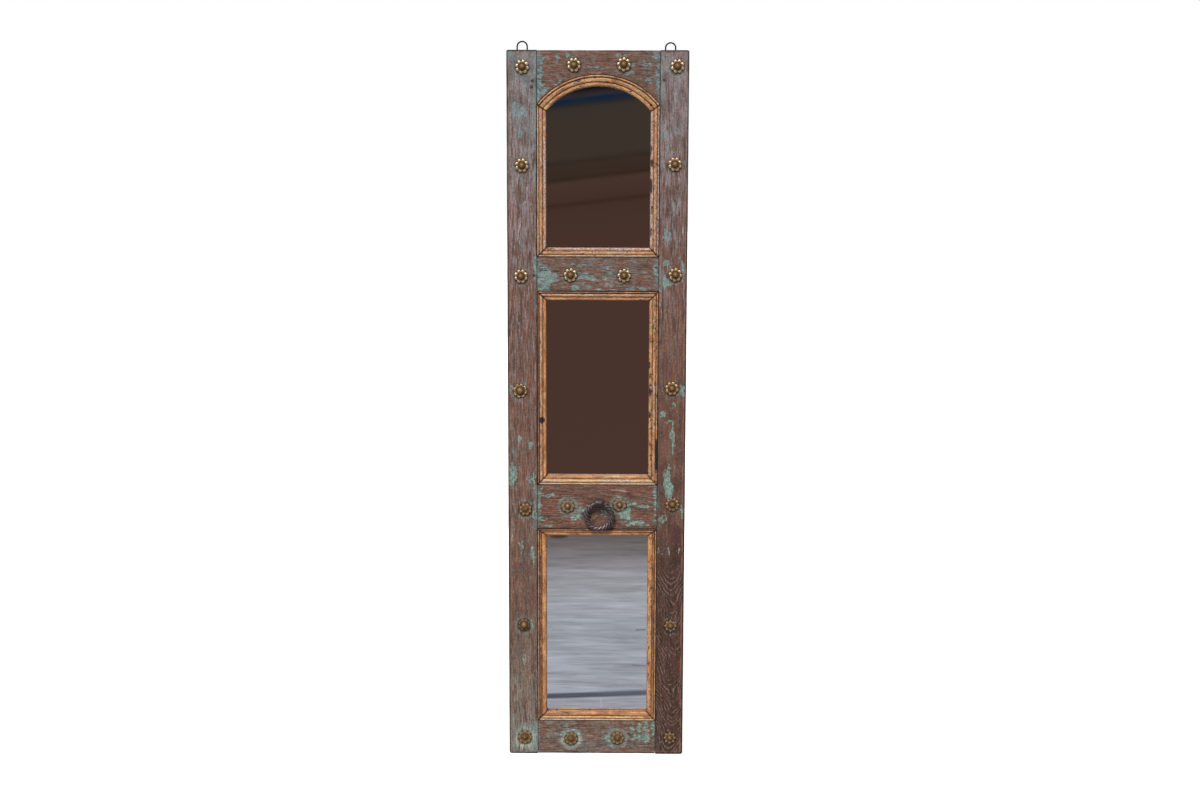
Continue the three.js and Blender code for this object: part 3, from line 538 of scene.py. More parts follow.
def backing_material():
    """Brown hardboard."""
    s = Shader("backing")
    fleck = s.noise(1.5, detail=5, roughness=0.7)
    cloud = s.noise((60, 60, 90), detail=4)
    colour = s.mottle(cloud, rgb(126, 96, 66), rgb(156, 124, 88), 0.3, 0.7)
    colour = s.mix(s.rise(fleck, 0.45, 0.75), colour, rgb(92, 66, 44))
    s.bump(fleck, 0.3 * MM, 0.6)
    return s.finish(colour, 0.8)


def peg_material():
    s = Shader("peg")
    rings = s.noise(1.2, detail=4)
    colour = s.mottle(rings, rgb(34, 28, 24), rgb(78, 66, 60), 0.35, 0.65)
    s.bump(rings, 0.3 * MM)
    return s.finish(colour, 0.85)


# ---------------------------------------------------------------- worn paint
# How strong each coat is, down the photograph's rows, on both stiles and on the rails.
ROWS = (50, 120, 250, 400, 500, 600, 700, 750)
COATS = {
    "left": {
        "haze": (0.56, 0.54, 0.28, 0.26, 0.34, 0.2, 0.36, 0.5),
        "mauve": (0.8, 0.7, 0.54, 0.36, 0.26, 0.16, 0.14, 0.1),
        "red": (0.18, 0.3, 0.46, 0.56, 0.4, 0.38, 0.2, 0.16),
        "wash": (0.1, 0.1, 0.12, 0.18, 0.3, 0.36, 0.6, 0.8),
        "deep": (0, 0, 0.0, 0.05, 0.15, 0.3, 0.2, 0),
    },
    "right": {
        "haze": (0.44, 0.34, 0.26, 0.12, 0.2, 0.08, 0.02, 0.1),
        "mauve": (0.76, 0.68, 0.4, 0.2, 0.14, 0.04, 0.0, 0.04),
        "red": (0.24, 0.34, 0.48, 0.5, 0.42, 0.3, 0.24, 0.2),
        "wash": (0.1, 0.1, 0.1, 0.12, 0.12, 0.04, 0.04, 0.12),
        "deep": (0, 0, 0.1, 0.28, 0.42, 0.85, 0.9, 0.65),
    },
    "rail": {
        "haze": (0.38, 0.42, 0.46, 0.34, 0.26, 0.3, 0.42, 0.42),
        "mauve": (0.22, 0.22, 0.22, 0.16, 0.1, 0.12, 0.16, 0.16),
        "red": (0.5, 0.5, 0.5, 0.56, 0.6, 0.56, 0.4, 0.4),
        "wash": (0.08, 0.08, 0.1, 0.1, 0.1, 0.12, 0.42, 0.42),
        "deep": (0, 0, 0, 0, 0, 0, 0.1, 0.1),
    },
}
# The loops of grain low on the right stile.
LOOPS_MIDDLE = 197 * MM
LOOPS_DRIFT = 70 * MM
LOOPS_ROUND = 11 * MM
LOOPS_SLOPE = 2.2
LOOPS_STEP = 17 * MM
# The nearly straight lines of grain along the rails, and how far both kinds stray.
RAIL_GRAIN_STEP = 7 * MM
GRAIN_WARP = 60 * MM
# Old teal paint that is left on the face, read off the photograph: each patch has its
# middle and half sizes in the photograph's pixels, its tilt in degrees and its cover.
PAINT = [
    (511, 56, 5, 5, 0, 0.75), (517, 61, 3, 3, 0, 0.6), (540.5, 75, 3, 27, 0, 0.75),
    (543, 89, 6, 7, 0, 0.85), (558.7, 57, 2.5, 5.5, 0, 0.85), (568.9, 54.4, 2, 3, 0, 0.8),
    (566, 64, 1.6, 4, 0, 0.7), (577, 71, 5, 1.5, 0, 0.7), (559.7, 81, 7, 1.4, -28, 0.95),
    (588, 68, 7, 2, 0, 0.5), (598, 69, 6, 2, 0, 0.45), (634, 64, 4, 3, 0, 0.85),
    (631, 74, 5, 3, 0, 0.9), (618.5, 56.5, 3, 3, 0, 0.7), (627, 55.5, 4, 1.6, 0, 0.7),
    (648, 66, 10, 4, 0, 0.55), (655, 55, 4, 4, 0, 0.75), (658, 80, 1.8, 24, 0, 0.75),
    (647.5, 81, 5, 1.5, 0, 0.7), (685, 56.5, 4, 5, 0, 0.65), (663.5, 57.5, 3, 4, 0, 0.65),
    (517.5, 111, 10, 7, 0, 0.85), (519.8, 131, 4, 14, 0, 0.6), (535.5, 93, 1.5, 10, 0, 0.55),
    (665, 134, 5, 2.6, -30, 0.9), (676, 131.5, 3, 1.5, 0, 0.7), (668, 147, 4, 3, 0, 0.8),
    (676, 155.5, 5, 3, 0, 0.6), (664, 167.6, 2.5, 4, 0, 0.6), (685, 165, 2, 4, 0, 0.5),
    (667, 234.6, 4, 6, 0, 0.7), (667, 265, 5, 5, 0, 0.7), (683, 271.5, 4, 10, 0, 0.8),
    (667, 283.5, 4.5, 6, 0, 0.95), (679.5, 258, 1.5, 6, -12, 0.7), (545, 279, 8, 14, 0, 0.95),
    (535, 271, 3, 18, 0, 0.75), (553, 279, 11, 5, 0, 0.85), (587, 278, 10, 3, 0, 0.9),
    (608.5, 276.5, 9, 1.7, 0, 0.85), (572, 265, 17, 1.3, 4, 0.6), (603, 269.5, 9, 1.6, 12, 0.6),
    (575, 288, 4, 4, 0, 0.8), (590.5, 287.8, 4, 1.3, 0, 0.8), (602, 290, 6.5, 1.8, 0, 0.95),
    (629, 290.7, 7, 1.1, 0, 0.7), (645, 290, 7, 2, -6, 0.8), (646.7, 277, 7, 1.1, 0, 0.7),
    (655, 269, 1.8, 7, 0, 0.85), (628, 270, 3, 3, 0, 0.55), (534.8, 310, 1.8, 3.2, 0, 0.95),
    (518.5, 324, 1.5, 4, 0, 0.5), (512, 392, 2, 6, 0, 0.65), (520, 400, 6, 2, 0, 0.6),
    (521, 438.5, 2.5, 3.5, 0, 0.85), (533, 445.5, 4, 4, 0, 0.6), (511.5, 448, 1.5, 4, 0, 0.6),
    (513, 475, 4.5, 11, 0, 0.95), (531, 478.5, 6, 5.5, 0, 0.75), (682.5, 392, 4, 9, 0, 0.9),
    (663.5, 415, 5, 4, -20, 0.8), (674, 406.5, 4.5, 3, 0, 0.55), (669.7, 422, 6.5, 1.2, 0, 0.9),
    (673.3, 436.5, 2.6, 14, 0, 0.95), (667.5, 480, 4, 14, 0, 0.8), (685, 355, 1.5, 6, 0, 0.6),
    (540, 505, 1.8, 20, 0, 0.85), (548, 495, 7, 2, 0, 0.85), (536, 514.5, 6, 6, 0, 0.9),
    (548, 526, 8, 1.9, 6, 0.85), (543, 518, 3.5, 4, 0, 0.6), (575.5, 517, 6.5, 4.5, 0, 0.95),
    (581, 510.6, 5, 3.5, 0, 0.95), (624.5, 515.5, 7, 6, 30, 0.9), (632.7, 505, 6.5, 1.4, 0, 0.85),
    (639, 524, 12, 4.2, 0, 0.95), (629, 512, 1.9, 8, 0, 0.85), (618, 498, 8, 1.2, 0, 0.6),
    (648.5, 502, 7, 1.7, 0, 0.75), (654.5, 507, 2, 20, 0, 0.7), (668.3, 489, 4, 10, 0, 0.95),
    (662, 520, 5, 6, 0, 0.65), (683.6, 511, 1.4, 8, 0, 0.85), (533.5, 554, 2.6, 11, 0, 0.85),
    (521.5, 550, 5, 8, 0, 0.5), (669, 549.5, 0.9, 6.5, 0, 0.7), (678.5, 549.3, 5, 3, 0, 0.55),
    (661, 551.5, 1.5, 3.5, 0, 0.6), (532.3, 623.5, 2, 6, 0, 0.8), (527, 661, 6, 6.5, 0, 0.45),
    (533.5, 725.5, 2, 3.5, 0, 0.7), (551, 732, 8, 1, 3, 0.65), (549, 737, 7, 1, -4, 0.65),
    (553, 743, 8, 1, 5, 0.6), (564, 733.5, 4, 4, 0, 0.8), (577.5, 733, 4, 2, 0, 0.7),
    (570, 745.5, 6, 3.5, 0, 0.85), (607.5, 738.5, 5.5, 3.5, 0, 0.8), (641, 737, 12.5, 6.5, 0, 0.86),
    (632, 727, 2, 6, 0, 0.8), (639, 726, 2.4, 7, 0, 0.85), (647, 726, 2.8, 7, 0, 0.85),
    (653.5, 728, 1.6, 8, 0, 0.85), (672, 626, 8, 9, 0, 0.45), (525, 736.5, 10.5, 9, 0, 0.5),
    (604, 514, 4, 6, 0, 0.6), (596, 520, 3, 2, 0, 0.5), (646, 508, 9, 1.6, 0, 0.7),
    (616, 506, 5, 2.5, 0, 0.6), (627, 520, 6, 4, 0, 0.8), (571, 511, 4, 2, 0, 0.6),
]
# Pale scuffs, in the same terms.
SCUFFS = [
    (519, 235, 1, 16, 2, 0.8), (514, 247, 1, 9, 25, 0.7), (618.6, 492.4, 9, 1, 0, 0.8),
    (588, 506, 2.5, 1.4, -20, 0.9), (525, 218, 2, 3, 0, 0.6), (674, 102, 1.2, 12, 0, 0.5),
    (683, 230, 1.5, 12, 0, 0.5), (665, 118, 1.2, 14, 0, 0.5), (672, 66, 2, 4, 0, 0.5),
    (512, 585, 0.8, 14, 0, 0.5), (512, 540, 0.7, 7, 12, 0.7), (684, 590, 1.2, 4, -20, 0.7),
    (660, 306, 1, 12, 0, 0.6), (675, 470, 1.2, 5, 0, 0.6), (666, 460, 1, 8, 0, 0.6),
    (527, 657, 3, 7, 0, 0.7), (529, 676, 2.4, 6, 0, 0.5), (523, 690, 2, 6, 0, 0.5),
    (600, 745, 10, 1, 0, 0.5), (624, 745, 9, 2, 0, 0.45),
]


# How far from a patch's middle its points are looked for, in the photograph's pixels, and
# how much of its half size its soft edge takes.
PATCH_REACH = (30, 40)
PATCH_SOFT = 0.55


def patches(px, py, table, soft=1.0):
    """How far a table's patches reach each point."""
    cover = np.zeros(len(px))
    soft *= PATCH_SOFT
    for x, y, half_width, half_height, tilt, strength in table:
        near = (np.abs(px - x) < PATCH_REACH[0]) & (np.abs(py - y) < PATCH_REACH[1])
        dx, dy = px[near] - x, py[near] - y
        c, s = math.cos(math.radians(tilt)), math.sin(math.radians(tilt))
        away = np.hypot((c * dx + s * dy) / half_width, (c * dy - s * dx) / half_height)
        cover[near] = np.maximum(cover[near], strength * rise(away, 1 + soft, 1 - soft))
    return cover


def centres_of(kind):
    """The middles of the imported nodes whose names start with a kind."""
    boxes = {name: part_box(name) for name in sorted(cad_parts) if name.startswith(kind)}
    return {name: np.array((low + high) / 2) for name, (low, high) in boxes.items()}


FLOWER_CENTRES = centres_of("flower_")
PEG_CENTRES = centres_of("peg_")
# The ring round a flower, whose old coats are left: where it ends, and how much paint,
# limewash and pale dust it holds.
HALO = (32 * MM, 0.36, 0.3, 0)
HALOS = {
    "flower_5b": (32 * MM, 0.42, 0.9, 0), "flower_5c": (32 * MM, 0.42, 0.9, 0),
    "flower_7a": (46 * MM, 0.42, 0.9, 0.85), "flower_7b": (36 * MM, 0.42, 0.9, 0.85),
    "flower_7c": (32 * MM, 0.42, 0.9, 0),
}
# Where the joints between stiles and rails stand in the photograph: half their distance
# apart, and their middle at two of its rows.
JOINTS_HALF = 61
JOINTS_ROWS, JOINTS_MIDDLE = (50, 750), (598.4, 596.5)
# How far from a board's edge its dark joints and painted shade reach.
EDGE_DIRT_AND_SHADE = 1.6 * MM


def aside_from(points, centre, drop=0.0):
    """How far points are from a centre, or from a drop below it, as seen from the front."""
    return np.hypot(points[:, 0] - centre[0], points[:, 2] - centre[2] + drop)


def wear_fields(points, way, along, edge):
    """The coats that are left at each point of a board, and its painted shade. along is the
    axis of its grain and edge the distance to its nearest edge."""
    px, py = in_photo(points)
    front = rise(-way[:, 1], 0.2, 0.8)
    hidden = rise(way[:, 1], -0.5, 0.5)
    streaky, blot = along_grain(4, 60, along), along_grain(10, 34, along)
    streak = noise(points, streaky, 9, 3)
    cloud = noise(points, (30, 30, 45), 12, 3)
    ragged = noise(points, blot, 5, 3)
    qx = px + 7 * (noise(points, blot, 41, 2) - 0.5)
    qy = py + 9 * (noise(points, blot, 42, 2) - 0.5)
    paint = patches(qx, qy, PAINT) * (0.95 + 0.8 * (ragged - 0.5)) * front
    pale = patches(qx, qy, SCUFFS) * front
    pale = np.maximum(pale, 0.8 * rise(noise(points, streaky, 21, 2), 0.74, 0.9))
    board = "rail" if along == 0 else ("left" if points[:, 0].mean() < 0 else "right")
    fields = {
        key: np.interp(py, ROWS, values) * (1 - 0.75 * hidden) + 0.6 * (cloud - 0.5)
        for key, values in COATS[board].items()
    }
    fields["red"] += 0.5 * (streak - 0.5)
    from_joint = np.abs(np.abs(px - np.interp(py, JOINTS_ROWS, JOINTS_MIDDLE)) - JOINTS_HALF)
    by_rail = sum((points[:, 2] > low) & (points[:, 2] < high) for low, high in RAILS) > 0
    worn_paint = 0.5 * rise(from_joint, 5, 1) * front * (along == 0)
    fields["haze"] += 0.5 * rise(from_joint, 6, 1) * front * by_rail
    # Darker along the boards' front arrises: dark joints where boards meet, and painted shade on
    # the rounded arris.
    dirt_and_shade = 0.75 * np.exp(-((edge / EDGE_DIRT_AND_SHADE) ** 2)) * (0.5 + streak)
    inner = np.abs(points[:, 0]) < HALF_WIDTH - 20 * MM
    dirt_and_shade *= 1 - 0.7 * (by_rail & inner & (along == 2))
    for name, centre in FLOWER_CENTRES.items():
        away = aside_from(points, centre, 2 * MM)
        # Painted shadow round each flower, its middle 2 mm below the flower's.
        dirt_and_shade = np.maximum(dirt_and_shade, 0.75 * front * rise(away, 22 * MM, 16 * MM))
        reach, painted, limed, dusty = HALOS.get(name, HALO)
        halo = front * rise(away, 17 * MM, 20 * MM) * rise(away, reach, 22 * MM)
        worn_paint = np.maximum(worn_paint, painted * halo)
        fields["wash"] += limed * halo
        pale = np.maximum(pale, dusty * halo)
    for centre in PEG_CENTRES.values():
        away = aside_from(points, centre)
        # The wood is darker round each peg, over the hollow that it sinks to there.
        dirt_and_shade = np.maximum(dirt_and_shade, 0.9 * front * rise(away, 6 * MM, 2.5 * MM))
    sides = (1 - front) * (1 - hidden) * rise(noise(points, 60, 33, 3), 0.5, 0.75)
    worn_paint = np.maximum(worn_paint, 0.8 * sides)
    fields["paint"] = np.maximum(paint, worn_paint * (0.4 + ragged))
    fields["pale"] = pale
    fields["dirt_and_shade"] = dirt_and_shade
    low_right = rise(py, 555, 585) * (board == "right") * front
    fields["loops"] = low_right * rise(cloud, 0.32, 0.54)
    return {key: np.clip(values, 0, 1) for key, values in fields.items()}


# ---------------------------------------------------------------- the frame's boards
FACE_STEP = 2.1 * MM
SIDE_STEP = 4.5 * MM
ARRIS = 1.3 * MM
# How far a rebate's corner is from being square, along and across a board.
STEP_ALONG, STEP_ACROSS = 0.05 * MM, 0.2 * MM
# How old wood sinks: by how many mm, at features of how many mm across and along the
# grain, with which seed.
SINKS = ((0.35, 45, 45, 3), (0.3, 3, 70, 7), (0.14, 1.7, 18, 8))
# The rings that close a board's end, as shares of its outline.
END_RINGS = np.array([0.3, 0.6, 0.85, 0.985])[:, None, None]


def spaced(low, high, step):
    return np.linspace(low, high, max(2, round((high - low) / step) + 1))


def board_section(width, front, back):
    """A board's section as rows of: weight from its low to its high edge, offset from
    there, depth, the outward direction across and in depth, and 1 where the rebate that
    holds a pane cuts the edge back."""
    rows = []
    corners = [(0, 1, front, -1), (1, -1, front, -1), (1, -1, back, 1), (0, 1, back, 1)]
    ways = [(-1, 0), (0, -1), (1, 0), (0, 1)]
    for k, (weight, inward, depth, out) in enumerate(corners):
        way_on = ways[(k + 1) % 4]
        for share in (0, 1 / 3, 2 / 3, 1):
            angle = math.pi / 2 * share
            way = [math.cos(angle) * a + math.sin(angle) * b for a, b in zip(ways[k], way_on)]
            y = depth - out * ARRIS + ARRIS * way[1]
            rows.append((weight, inward * ARRIS + ARRIS * way[0], y, *way, y > REBATE_FRONT))
        if k % 2 == 0:
            after = corners[k + 1]
            step = FACE_STEP if k == 0 else SIDE_STEP
            for share in spaced(0, 1, step / width)[1:-1]:
                w = weight + (after[0] - weight) * share
                offset = (1 - share) * inward * ARRIS + share * after[1] * ARRIS
                rows.append((w, offset, depth, *way_on, k == 2))
        else:
            side = spaced(front + ARRIS, back - ARRIS, SIDE_STEP)[1:-1]
            side = [(y, y > REBATE_FRONT) for y in side if abs(y - REBATE_FRONT) > 1 * MM]
            side += [(REBATE_FRONT - STEP_ACROSS, 0), (REBATE_FRONT, 1)]
            side.sort(reverse=k == 3)
            rows += [(weight, 0.0, y, *way_on, cut) for y, cut in side]
    return np.array(rows, float)


def make_board(name, along, span, edges, rebates, depths, material):
    """A board whose grain follows axis along. edges(l) gives its low and high edge at the
    stations l, rebates(l) how far the panes' rebates cut into them, and depths its front
    and back."""
    stations = spaced(*span, FACE_STEP)
    if along == 2:
        steps = [z + way * STEP_ALONG for z in REBATE_ENDS for way in (-1, 1)]
        stations = np.sort(np.concatenate([stations, steps]))
    low, high = edges(stations)
    section = board_section((high - low).max(), *depths)
    weight, offset, depth, out_across, out_depth, cut = section.T
    n, m = len(stations), len(section)
    low_cut, high_cut = rebates(stations)
    low = low[:, None] + low_cut[:, None] * cut
    high = high[:, None] - high_cut[:, None] * cut
    across = 2 - along
    points, ways = np.zeros((2, n, m, 3))
    points[..., along] = stations[:, None]
    points[..., across] = low * (1 - weight) + high * weight + offset
    points[..., 1] = depth
    ways[..., across], ways[..., 1] = out_across, out_depth

    flat, way = points.reshape(-1, 3), ways.reshape(-1, 3)
    place, y, station = flat[:, across], flat[:, 1], flat[:, along]
    edge = np.maximum(np.minimum(place - low.ravel(), high.ravel() - place), 0)
    side = np.maximum(np.minimum(y - depths[0], depths[1] - y), 0)
    end = np.maximum(np.minimum(station - span[0], span[1] - station), 0)
    arris = np.minimum(np.maximum(edge, side), np.maximum(side, end))
    front = rise(-way[:, 1], 0.2, 0.8)
    sink = sum(
        deep * MM * noise(flat, along_grain(fine, long, along), seed)
        for deep, fine, long, seed in SINKS
    )
    sink += 0.7 * MM * rise(noise(flat, 14, 17), 0.74, 0.92)
    wear = noise(flat, 22, 23, 3)
    sink += np.exp(-arris / (1.8 * MM)) * (0.15 + 1.5 * wear**2) * MM
    for centre in PEG_CENTRES.values():
        away = aside_from(flat, centre)
        sink = np.maximum(sink, 1.6 * MM * front * rise(away, 5.5 * MM, 2.5 * MM))
    grid = (flat - way * sink[:, None]).reshape(n, m, 3)
    first, last = (
        ring.mean(axis=0) + (ring - ring.mean(axis=0)) * END_RINGS for ring in (grid[0], grid[-1])
    )
    more = len(END_RINGS)
    fields = {
        key: np.pad(values.reshape(n, m), ((more, more), (0, 0)), mode="edge")
        for key, values in wear_fields(flat, way, along, np.maximum(edge, side)).items()
    }
    grid_piece(name, np.concatenate([first, grid, last[::-1]]), material, [name], fields)


def stile_edges(outer, inner):
    """A stile's edges, its outer corners rounded off."""

    def edges(z):
        bottom = np.clip(BOTTOM_CORNER - z, 0, BOTTOM_CORNER)
        top = np.clip(z - (HEIGHT - TOP_CORNER), 0, TOP_CORNER)
        cut = BOTTOM_CORNER - np.sqrt(BOTTOM_CORNER**2 - bottom**2)
        cut += TOP_CORNER - np.sqrt(TOP_CORNER**2 - top**2)
        rounded = outer + np.sign(inner - outer) * cut * 0.9
        straight = np.full_like(z, inner)
        return (rounded, straight) if outer < inner else (straight, rounded)

    return edges


# Where the rebates of the rectangular panes, and the foot of the arched one, end.
REBATE_ENDS = [LOWER_PANE[0] - REBATE, LOWER_PANE[1] + REBATE, MIDDLE_PANE[0] - REBATE,
               MIDDLE_PANE[1] + REBATE, UPPER_PANE[0] - REBATE]


def stile_rebates(outer, inner):
    """How far the rebates cut into a stile's edges: only into the inner one."""

    def rebates(z):
        square = np.zeros_like(z)
        for low, high in (LOWER_PANE, MIDDLE_PANE):
            square[(z > low - REBATE) & (z < high + REBATE)] = REBATE
        reach = np.sqrt(np.maximum((ARCH_RADIUS + REBATE) ** 2 - (z - ARCH_CENTRE) ** 2, 0))
        arched = np.clip(np.where(z > ARCH_CENTRE, reach - OPENING_HALF, REBATE), 0, REBATE)
        cut = np.where(z > UPPER_PANE[0] - REBATE, arched, square)
        return (0 * z, cut) if outer < inner else (cut, 0 * z)

    return rebates


def arch_height(x, radius):
    return ARCH_CENTRE + np.sqrt(radius**2 - (x - OPENING_MIDDLE) ** 2)


def make_boards():
    wood = wood_material("stile_wood", 2)
    for name, *sides in (
        ("stile_left", -HALF_WIDTH, OPENING_LEFT),
        ("stile_right", HALF_WIDTH, OPENING_RIGHT),
    ):
        edges, rebates = stile_edges(*sides), stile_rebates(*sides)
        make_board(name, 2, (0.0, HEIGHT), edges, rebates, (FRONT, BACK), wood)

    def straight(low, high):
        return lambda x: (np.full_like(x, low), np.full_like(x, high))

    def arched(x):
        return arch_height(x, ARCH_RADIUS), np.full_like(x, HEIGHT)

    def arched_rebate(x):
        return arch_height(x, ARCH_RADIUS + REBATE) - arch_height(x, ARCH_RADIUS), 0 * x

    wood = wood_material("rail_wood", 0)
    span = (OPENING_LEFT + GAP, OPENING_RIGHT - GAP)
    for name, edges, rebates in (
        ("bottom_rail", straight(0.0, LOWER_PANE[0]), straight(0.0, REBATE)),
        ("lower_mid_rail", straight(LOWER_PANE[1], MIDDLE_PANE[0]), straight(REBATE, REBATE)),
        ("upper_mid_rail", straight(MIDDLE_PANE[1], UPPER_PANE[0]), straight(REBATE, REBATE)),
        ("top_rail", arched, arched_rebate),
    ):
        make_board(name, 0, span, edges, rebates, (RAIL_FRONT, BACK), wood)


# ---------------------------------------------------------------- mouldings
MOULDING_WIDTH = 22.5 * MM
NARROW_WIDTH = 17.5 * MM
ARCH_WIDTH = 27.5 * MM
JOINT = 0.25 * MM
STRIP_STEP = 2.4 * MM
MOULDING_BACK = 22.2  # mm behind the stiles' faces, as the depths below
FIRST_GROOVE = 2.4
HIDDEN_DEPTH = 13
BEADS = {
    "upper": [(0.03, 0.19, 0.6, 4.4), (0.26, 0.62, 3.0, 7.2), (0.68, 0.99, 6.2, 10.0)],
    "middle": [(0.03, 0.19, 0.6, 4.4), (0.26, 0.60, 3.0, 7.2), (0.66, 0.99, 6.2, 10.0)],
    "lower": [(0.03, 0.17, 0.6, 4.4), (0.23, 0.47, 3.0, 7.2), (0.52, 0.99, 6.2, 10.0)],
}
# The finishes of a bead: how lilac, how golden and how brown its old coat is. Bare wood
# is orange.
FINISHES = {
    "orange": (0.1, 0.2, 0.0), "gold": (0.1, 0.65, 0.1), "pale": (0.5, 0.8, 0.0),
    "lilac": (0.95, 0.2, 0.05), "tan": (0.34, 0.4, 0.3), "dull": (0.2, 0.1, 0.62),
    "brown": (0.0, 0.05, 0.75), "amber": (0.06, 0.42, 0.2), "peach": (0.62, 0.35, 0.0),
}
# Each strip's beads from its outer edge to the glass, how dark the painted shade in the
# grooves between them is, and how pitted the strip is.
STRIPS = {
    "upper_left": (("pale", "tan", "peach"), (0.9, 0.9), 0.25),
    "upper_right": (("lilac", "tan", "peach"), (1.0, 0.8), 0.7),
    "upper_bottom": (("pale", "tan", "peach"), (1.0, 1.0), 0.7),
    "upper_arch": (("amber", "amber", "amber"), (1.0, 0.9), 0.75),
    "middle_left": (("dull", "tan", "orange"), (0.9, 0.8), 0.3),
    "middle_right": (("tan", "tan", "amber"), (1.0, 0.8), 0.95),
    "middle_top": (("dull", "tan", "orange"), (1.0, 1.0), 0.5),
    "middle_bottom": (("pale", "pale", "orange"), (0.8, 0.7), 0.3),
    "lower_left": (("tan", "dull", "orange"), (0.8, 0.5), 0.45),
    "lower_right": (("amber", "dull", "amber"), (1.0, 0.8), 0.7),
    "lower_top": (("brown", "tan", "orange"), (0.9, 0.8), 0.5),
    "lower_bottom": (("pale", "gold", "orange"), (0.7, 1.0), 0.4),
}
# Dark stains on the mouldings, in the photograph's pixels as above.
STAINS = [
    (578.5, 81, 3, 1, -12, 0.7), (562, 89, 3, 0.8, -30, 0.5), (615, 80.5, 4, 1, 8, 0.6),
    (630.5, 91.5, 1.4, 1, 20, 0.7), (651, 105, 1.4, 1.4, 0, 1.0), (542, 420, 3, 3.5, 0, 0.95),
    (656, 455, 1.3, 18, 0, 0.9), (651, 150, 1.2, 6, 0, 0.6), (652, 163, 1.5, 4, 0, 0.8),
    (651, 186, 1.4, 8, 0, 0.8), (652, 210, 1.2, 5, 0, 0.7), (651, 232, 1.4, 5, 0, 0.6),
    (649.5, 365, 1.2, 4, 0, 0.7), (650, 392, 1.4, 5, 0, 0.8), (649.5, 415, 1.6, 4, 0, 0.7),
    (540, 560, 1.2, 5, 0, 0.5), (540.5, 600, 1.2, 9, 0, 0.5), (540, 640, 1.0, 9, 0, 0.5),
    (620, 716, 6, 0.8, 0, 0.6), (565, 712.5, 5, 0.8, 0, 0.6), (648, 600, 0.9, 4, 0, 0.5),
    (654, 590, 1.0, 6, 0, 0.5), (652.5, 660, 0.9, 5, 0, 0.5),
]


def moulding_section(pane):
    """Rows of: share across from the outer edge, depth in mm, how deep in a groove, and
    which bead it belongs to, from 0 outside to 1 at the glass."""
    rows = [(0, MOULDING_BACK, 0.3, 0), (0, 14, 0.5, 0), (0, 7, 0.8, 0)]
    rows.append((0, FIRST_GROOVE + 0.6, 1, 0))
    before = FIRST_GROOVE
    for number, (start, end, crest, groove) in enumerate(BEADS[pane]):
        for share in np.linspace(0, 1, 13):
            foot = before + (groove - before) * share
            height = math.sin(math.pi * share)
            across = start + (end - start) * (1 - math.cos(math.pi * share)) / 2
            rows.append((across, foot + (crest - foot) * height, (1 - height) ** 2, number / 2))
        before = groove
    rows += [(1, before + 0.8, 0.5, 1), (1, 14, 0.35, 1), (1, 18, 0.5, 1)]
    rows += [(share, MOULDING_BACK, 1, share) for share in (1, 0.75, 0.5, 0.25)]
    return np.array(rows)


def strip_fields(points, bead, groove, deep, end, look, seed):
    """The coats that are left on a moulding, and the painted shade in its grooves. end is the
    distance to its mitred ends.
    """
    beads, _, pits = look
    near = noise(points, 9, seed, 3)
    far = noise(points, 60, seed + 1, 2)
    pitted = noise(points, 4.2, seed + 2, 2)
    loose = 0.45 * (far - 0.5) + 0.5 * (near - 0.5)
    fields = {
        key: np.interp(bead, (0, 0.5, 1), [FINISHES[word][k] for word in beads]) + loose
        for k, key in enumerate(("lilac", "gold", "brown"))
    }
    # Painted shade in the grooves, dirt in the pits, and dark mitre joints at the ends.
    dirt_and_shade = groove * deep + pits * rise(pitted, 0.62, 0.76)
    fields["dirt_and_shade"] = np.maximum(dirt_and_shade, rise(end, 3.6 * MM, 1.4 * MM))
    fields["stain"] = patches(*in_photo(points), STAINS, 0.6)
    return {key: np.clip(values, 0, 1) for key, values in fields.items()}


def make_strip(name, place, length, width, seed, material):
    """place(s, t) gives x and z at share s along and t across."""
    look = STRIPS[name]
    across, depth, groove, bead = moulding_section(name.split("_")[0]).T
    stations = spaced(0, 1, STRIP_STEP / length)
    n, m = len(stations), len(across)
    s, t = np.meshgrid(stations, across, indexing="ij")
    x, z = place(s, t)
    depth, groove, bead = (np.broadcast_to(a, (n, m)).ravel() for a in (depth, groove, bead))
    s, t = s.ravel(), t.ravel()
    flat = np.stack([x.ravel(), FRONT + depth * MM, z.ravel()], axis=-1)
    sink = 0.3 * MM * noise(flat, 30, seed + 5)
    sink += 0.18 * MM * noise(flat, 5, seed + 6)
    sink += 0.9 * MM * (1 - groove) * rise(noise(flat, 10, seed + 7), 0.7, 0.9)
    flat[:, 1] += sink * (depth < HIDDEN_DEPTH)
    # How dark the painted shade in the grooves is, darkest along the outer edge.
    deep = np.where(bead < 0.01, 0.9, np.where(t < 0.4, *look[1]))
    end = np.minimum(s, 1 - s) * length
    fields = strip_fields(flat, bead, groove, deep, end, look, seed)
    fields["across"] = t * width
    fields["depth"] = depth * MM
    fields["along"] = s * length + seed * 7 * MM
    name = "moulding_" + name
    grid_piece(name, flat.reshape(n, m, 3), material, [name], fields)


def straight_place(outer, inner):
    def place(s, t):
        a, b = ([e[0][k] * (1 - s) + e[1][k] * s for k in (0, 1)] for e in (outer, inner))
        return [a[k] * (1 - t) + b[k] * t for k in (0, 1)]

    return place


def arch_place(end_x, end_z, inner_x, inner_z):
    def place(s, t):
        x, z = end_x + (inner_x - end_x) * t, end_z + (inner_z - end_z) * t
        reach = np.arctan2(x, z - ARCH_CENTRE)
        radius = ARCH_RADIUS - ARCH_WIDTH * t
        angle = reach * (2 * s - 1)
        return OPENING_MIDDLE + radius * np.sin(angle), ARCH_CENTRE + radius * np.cos(angle)

    return place


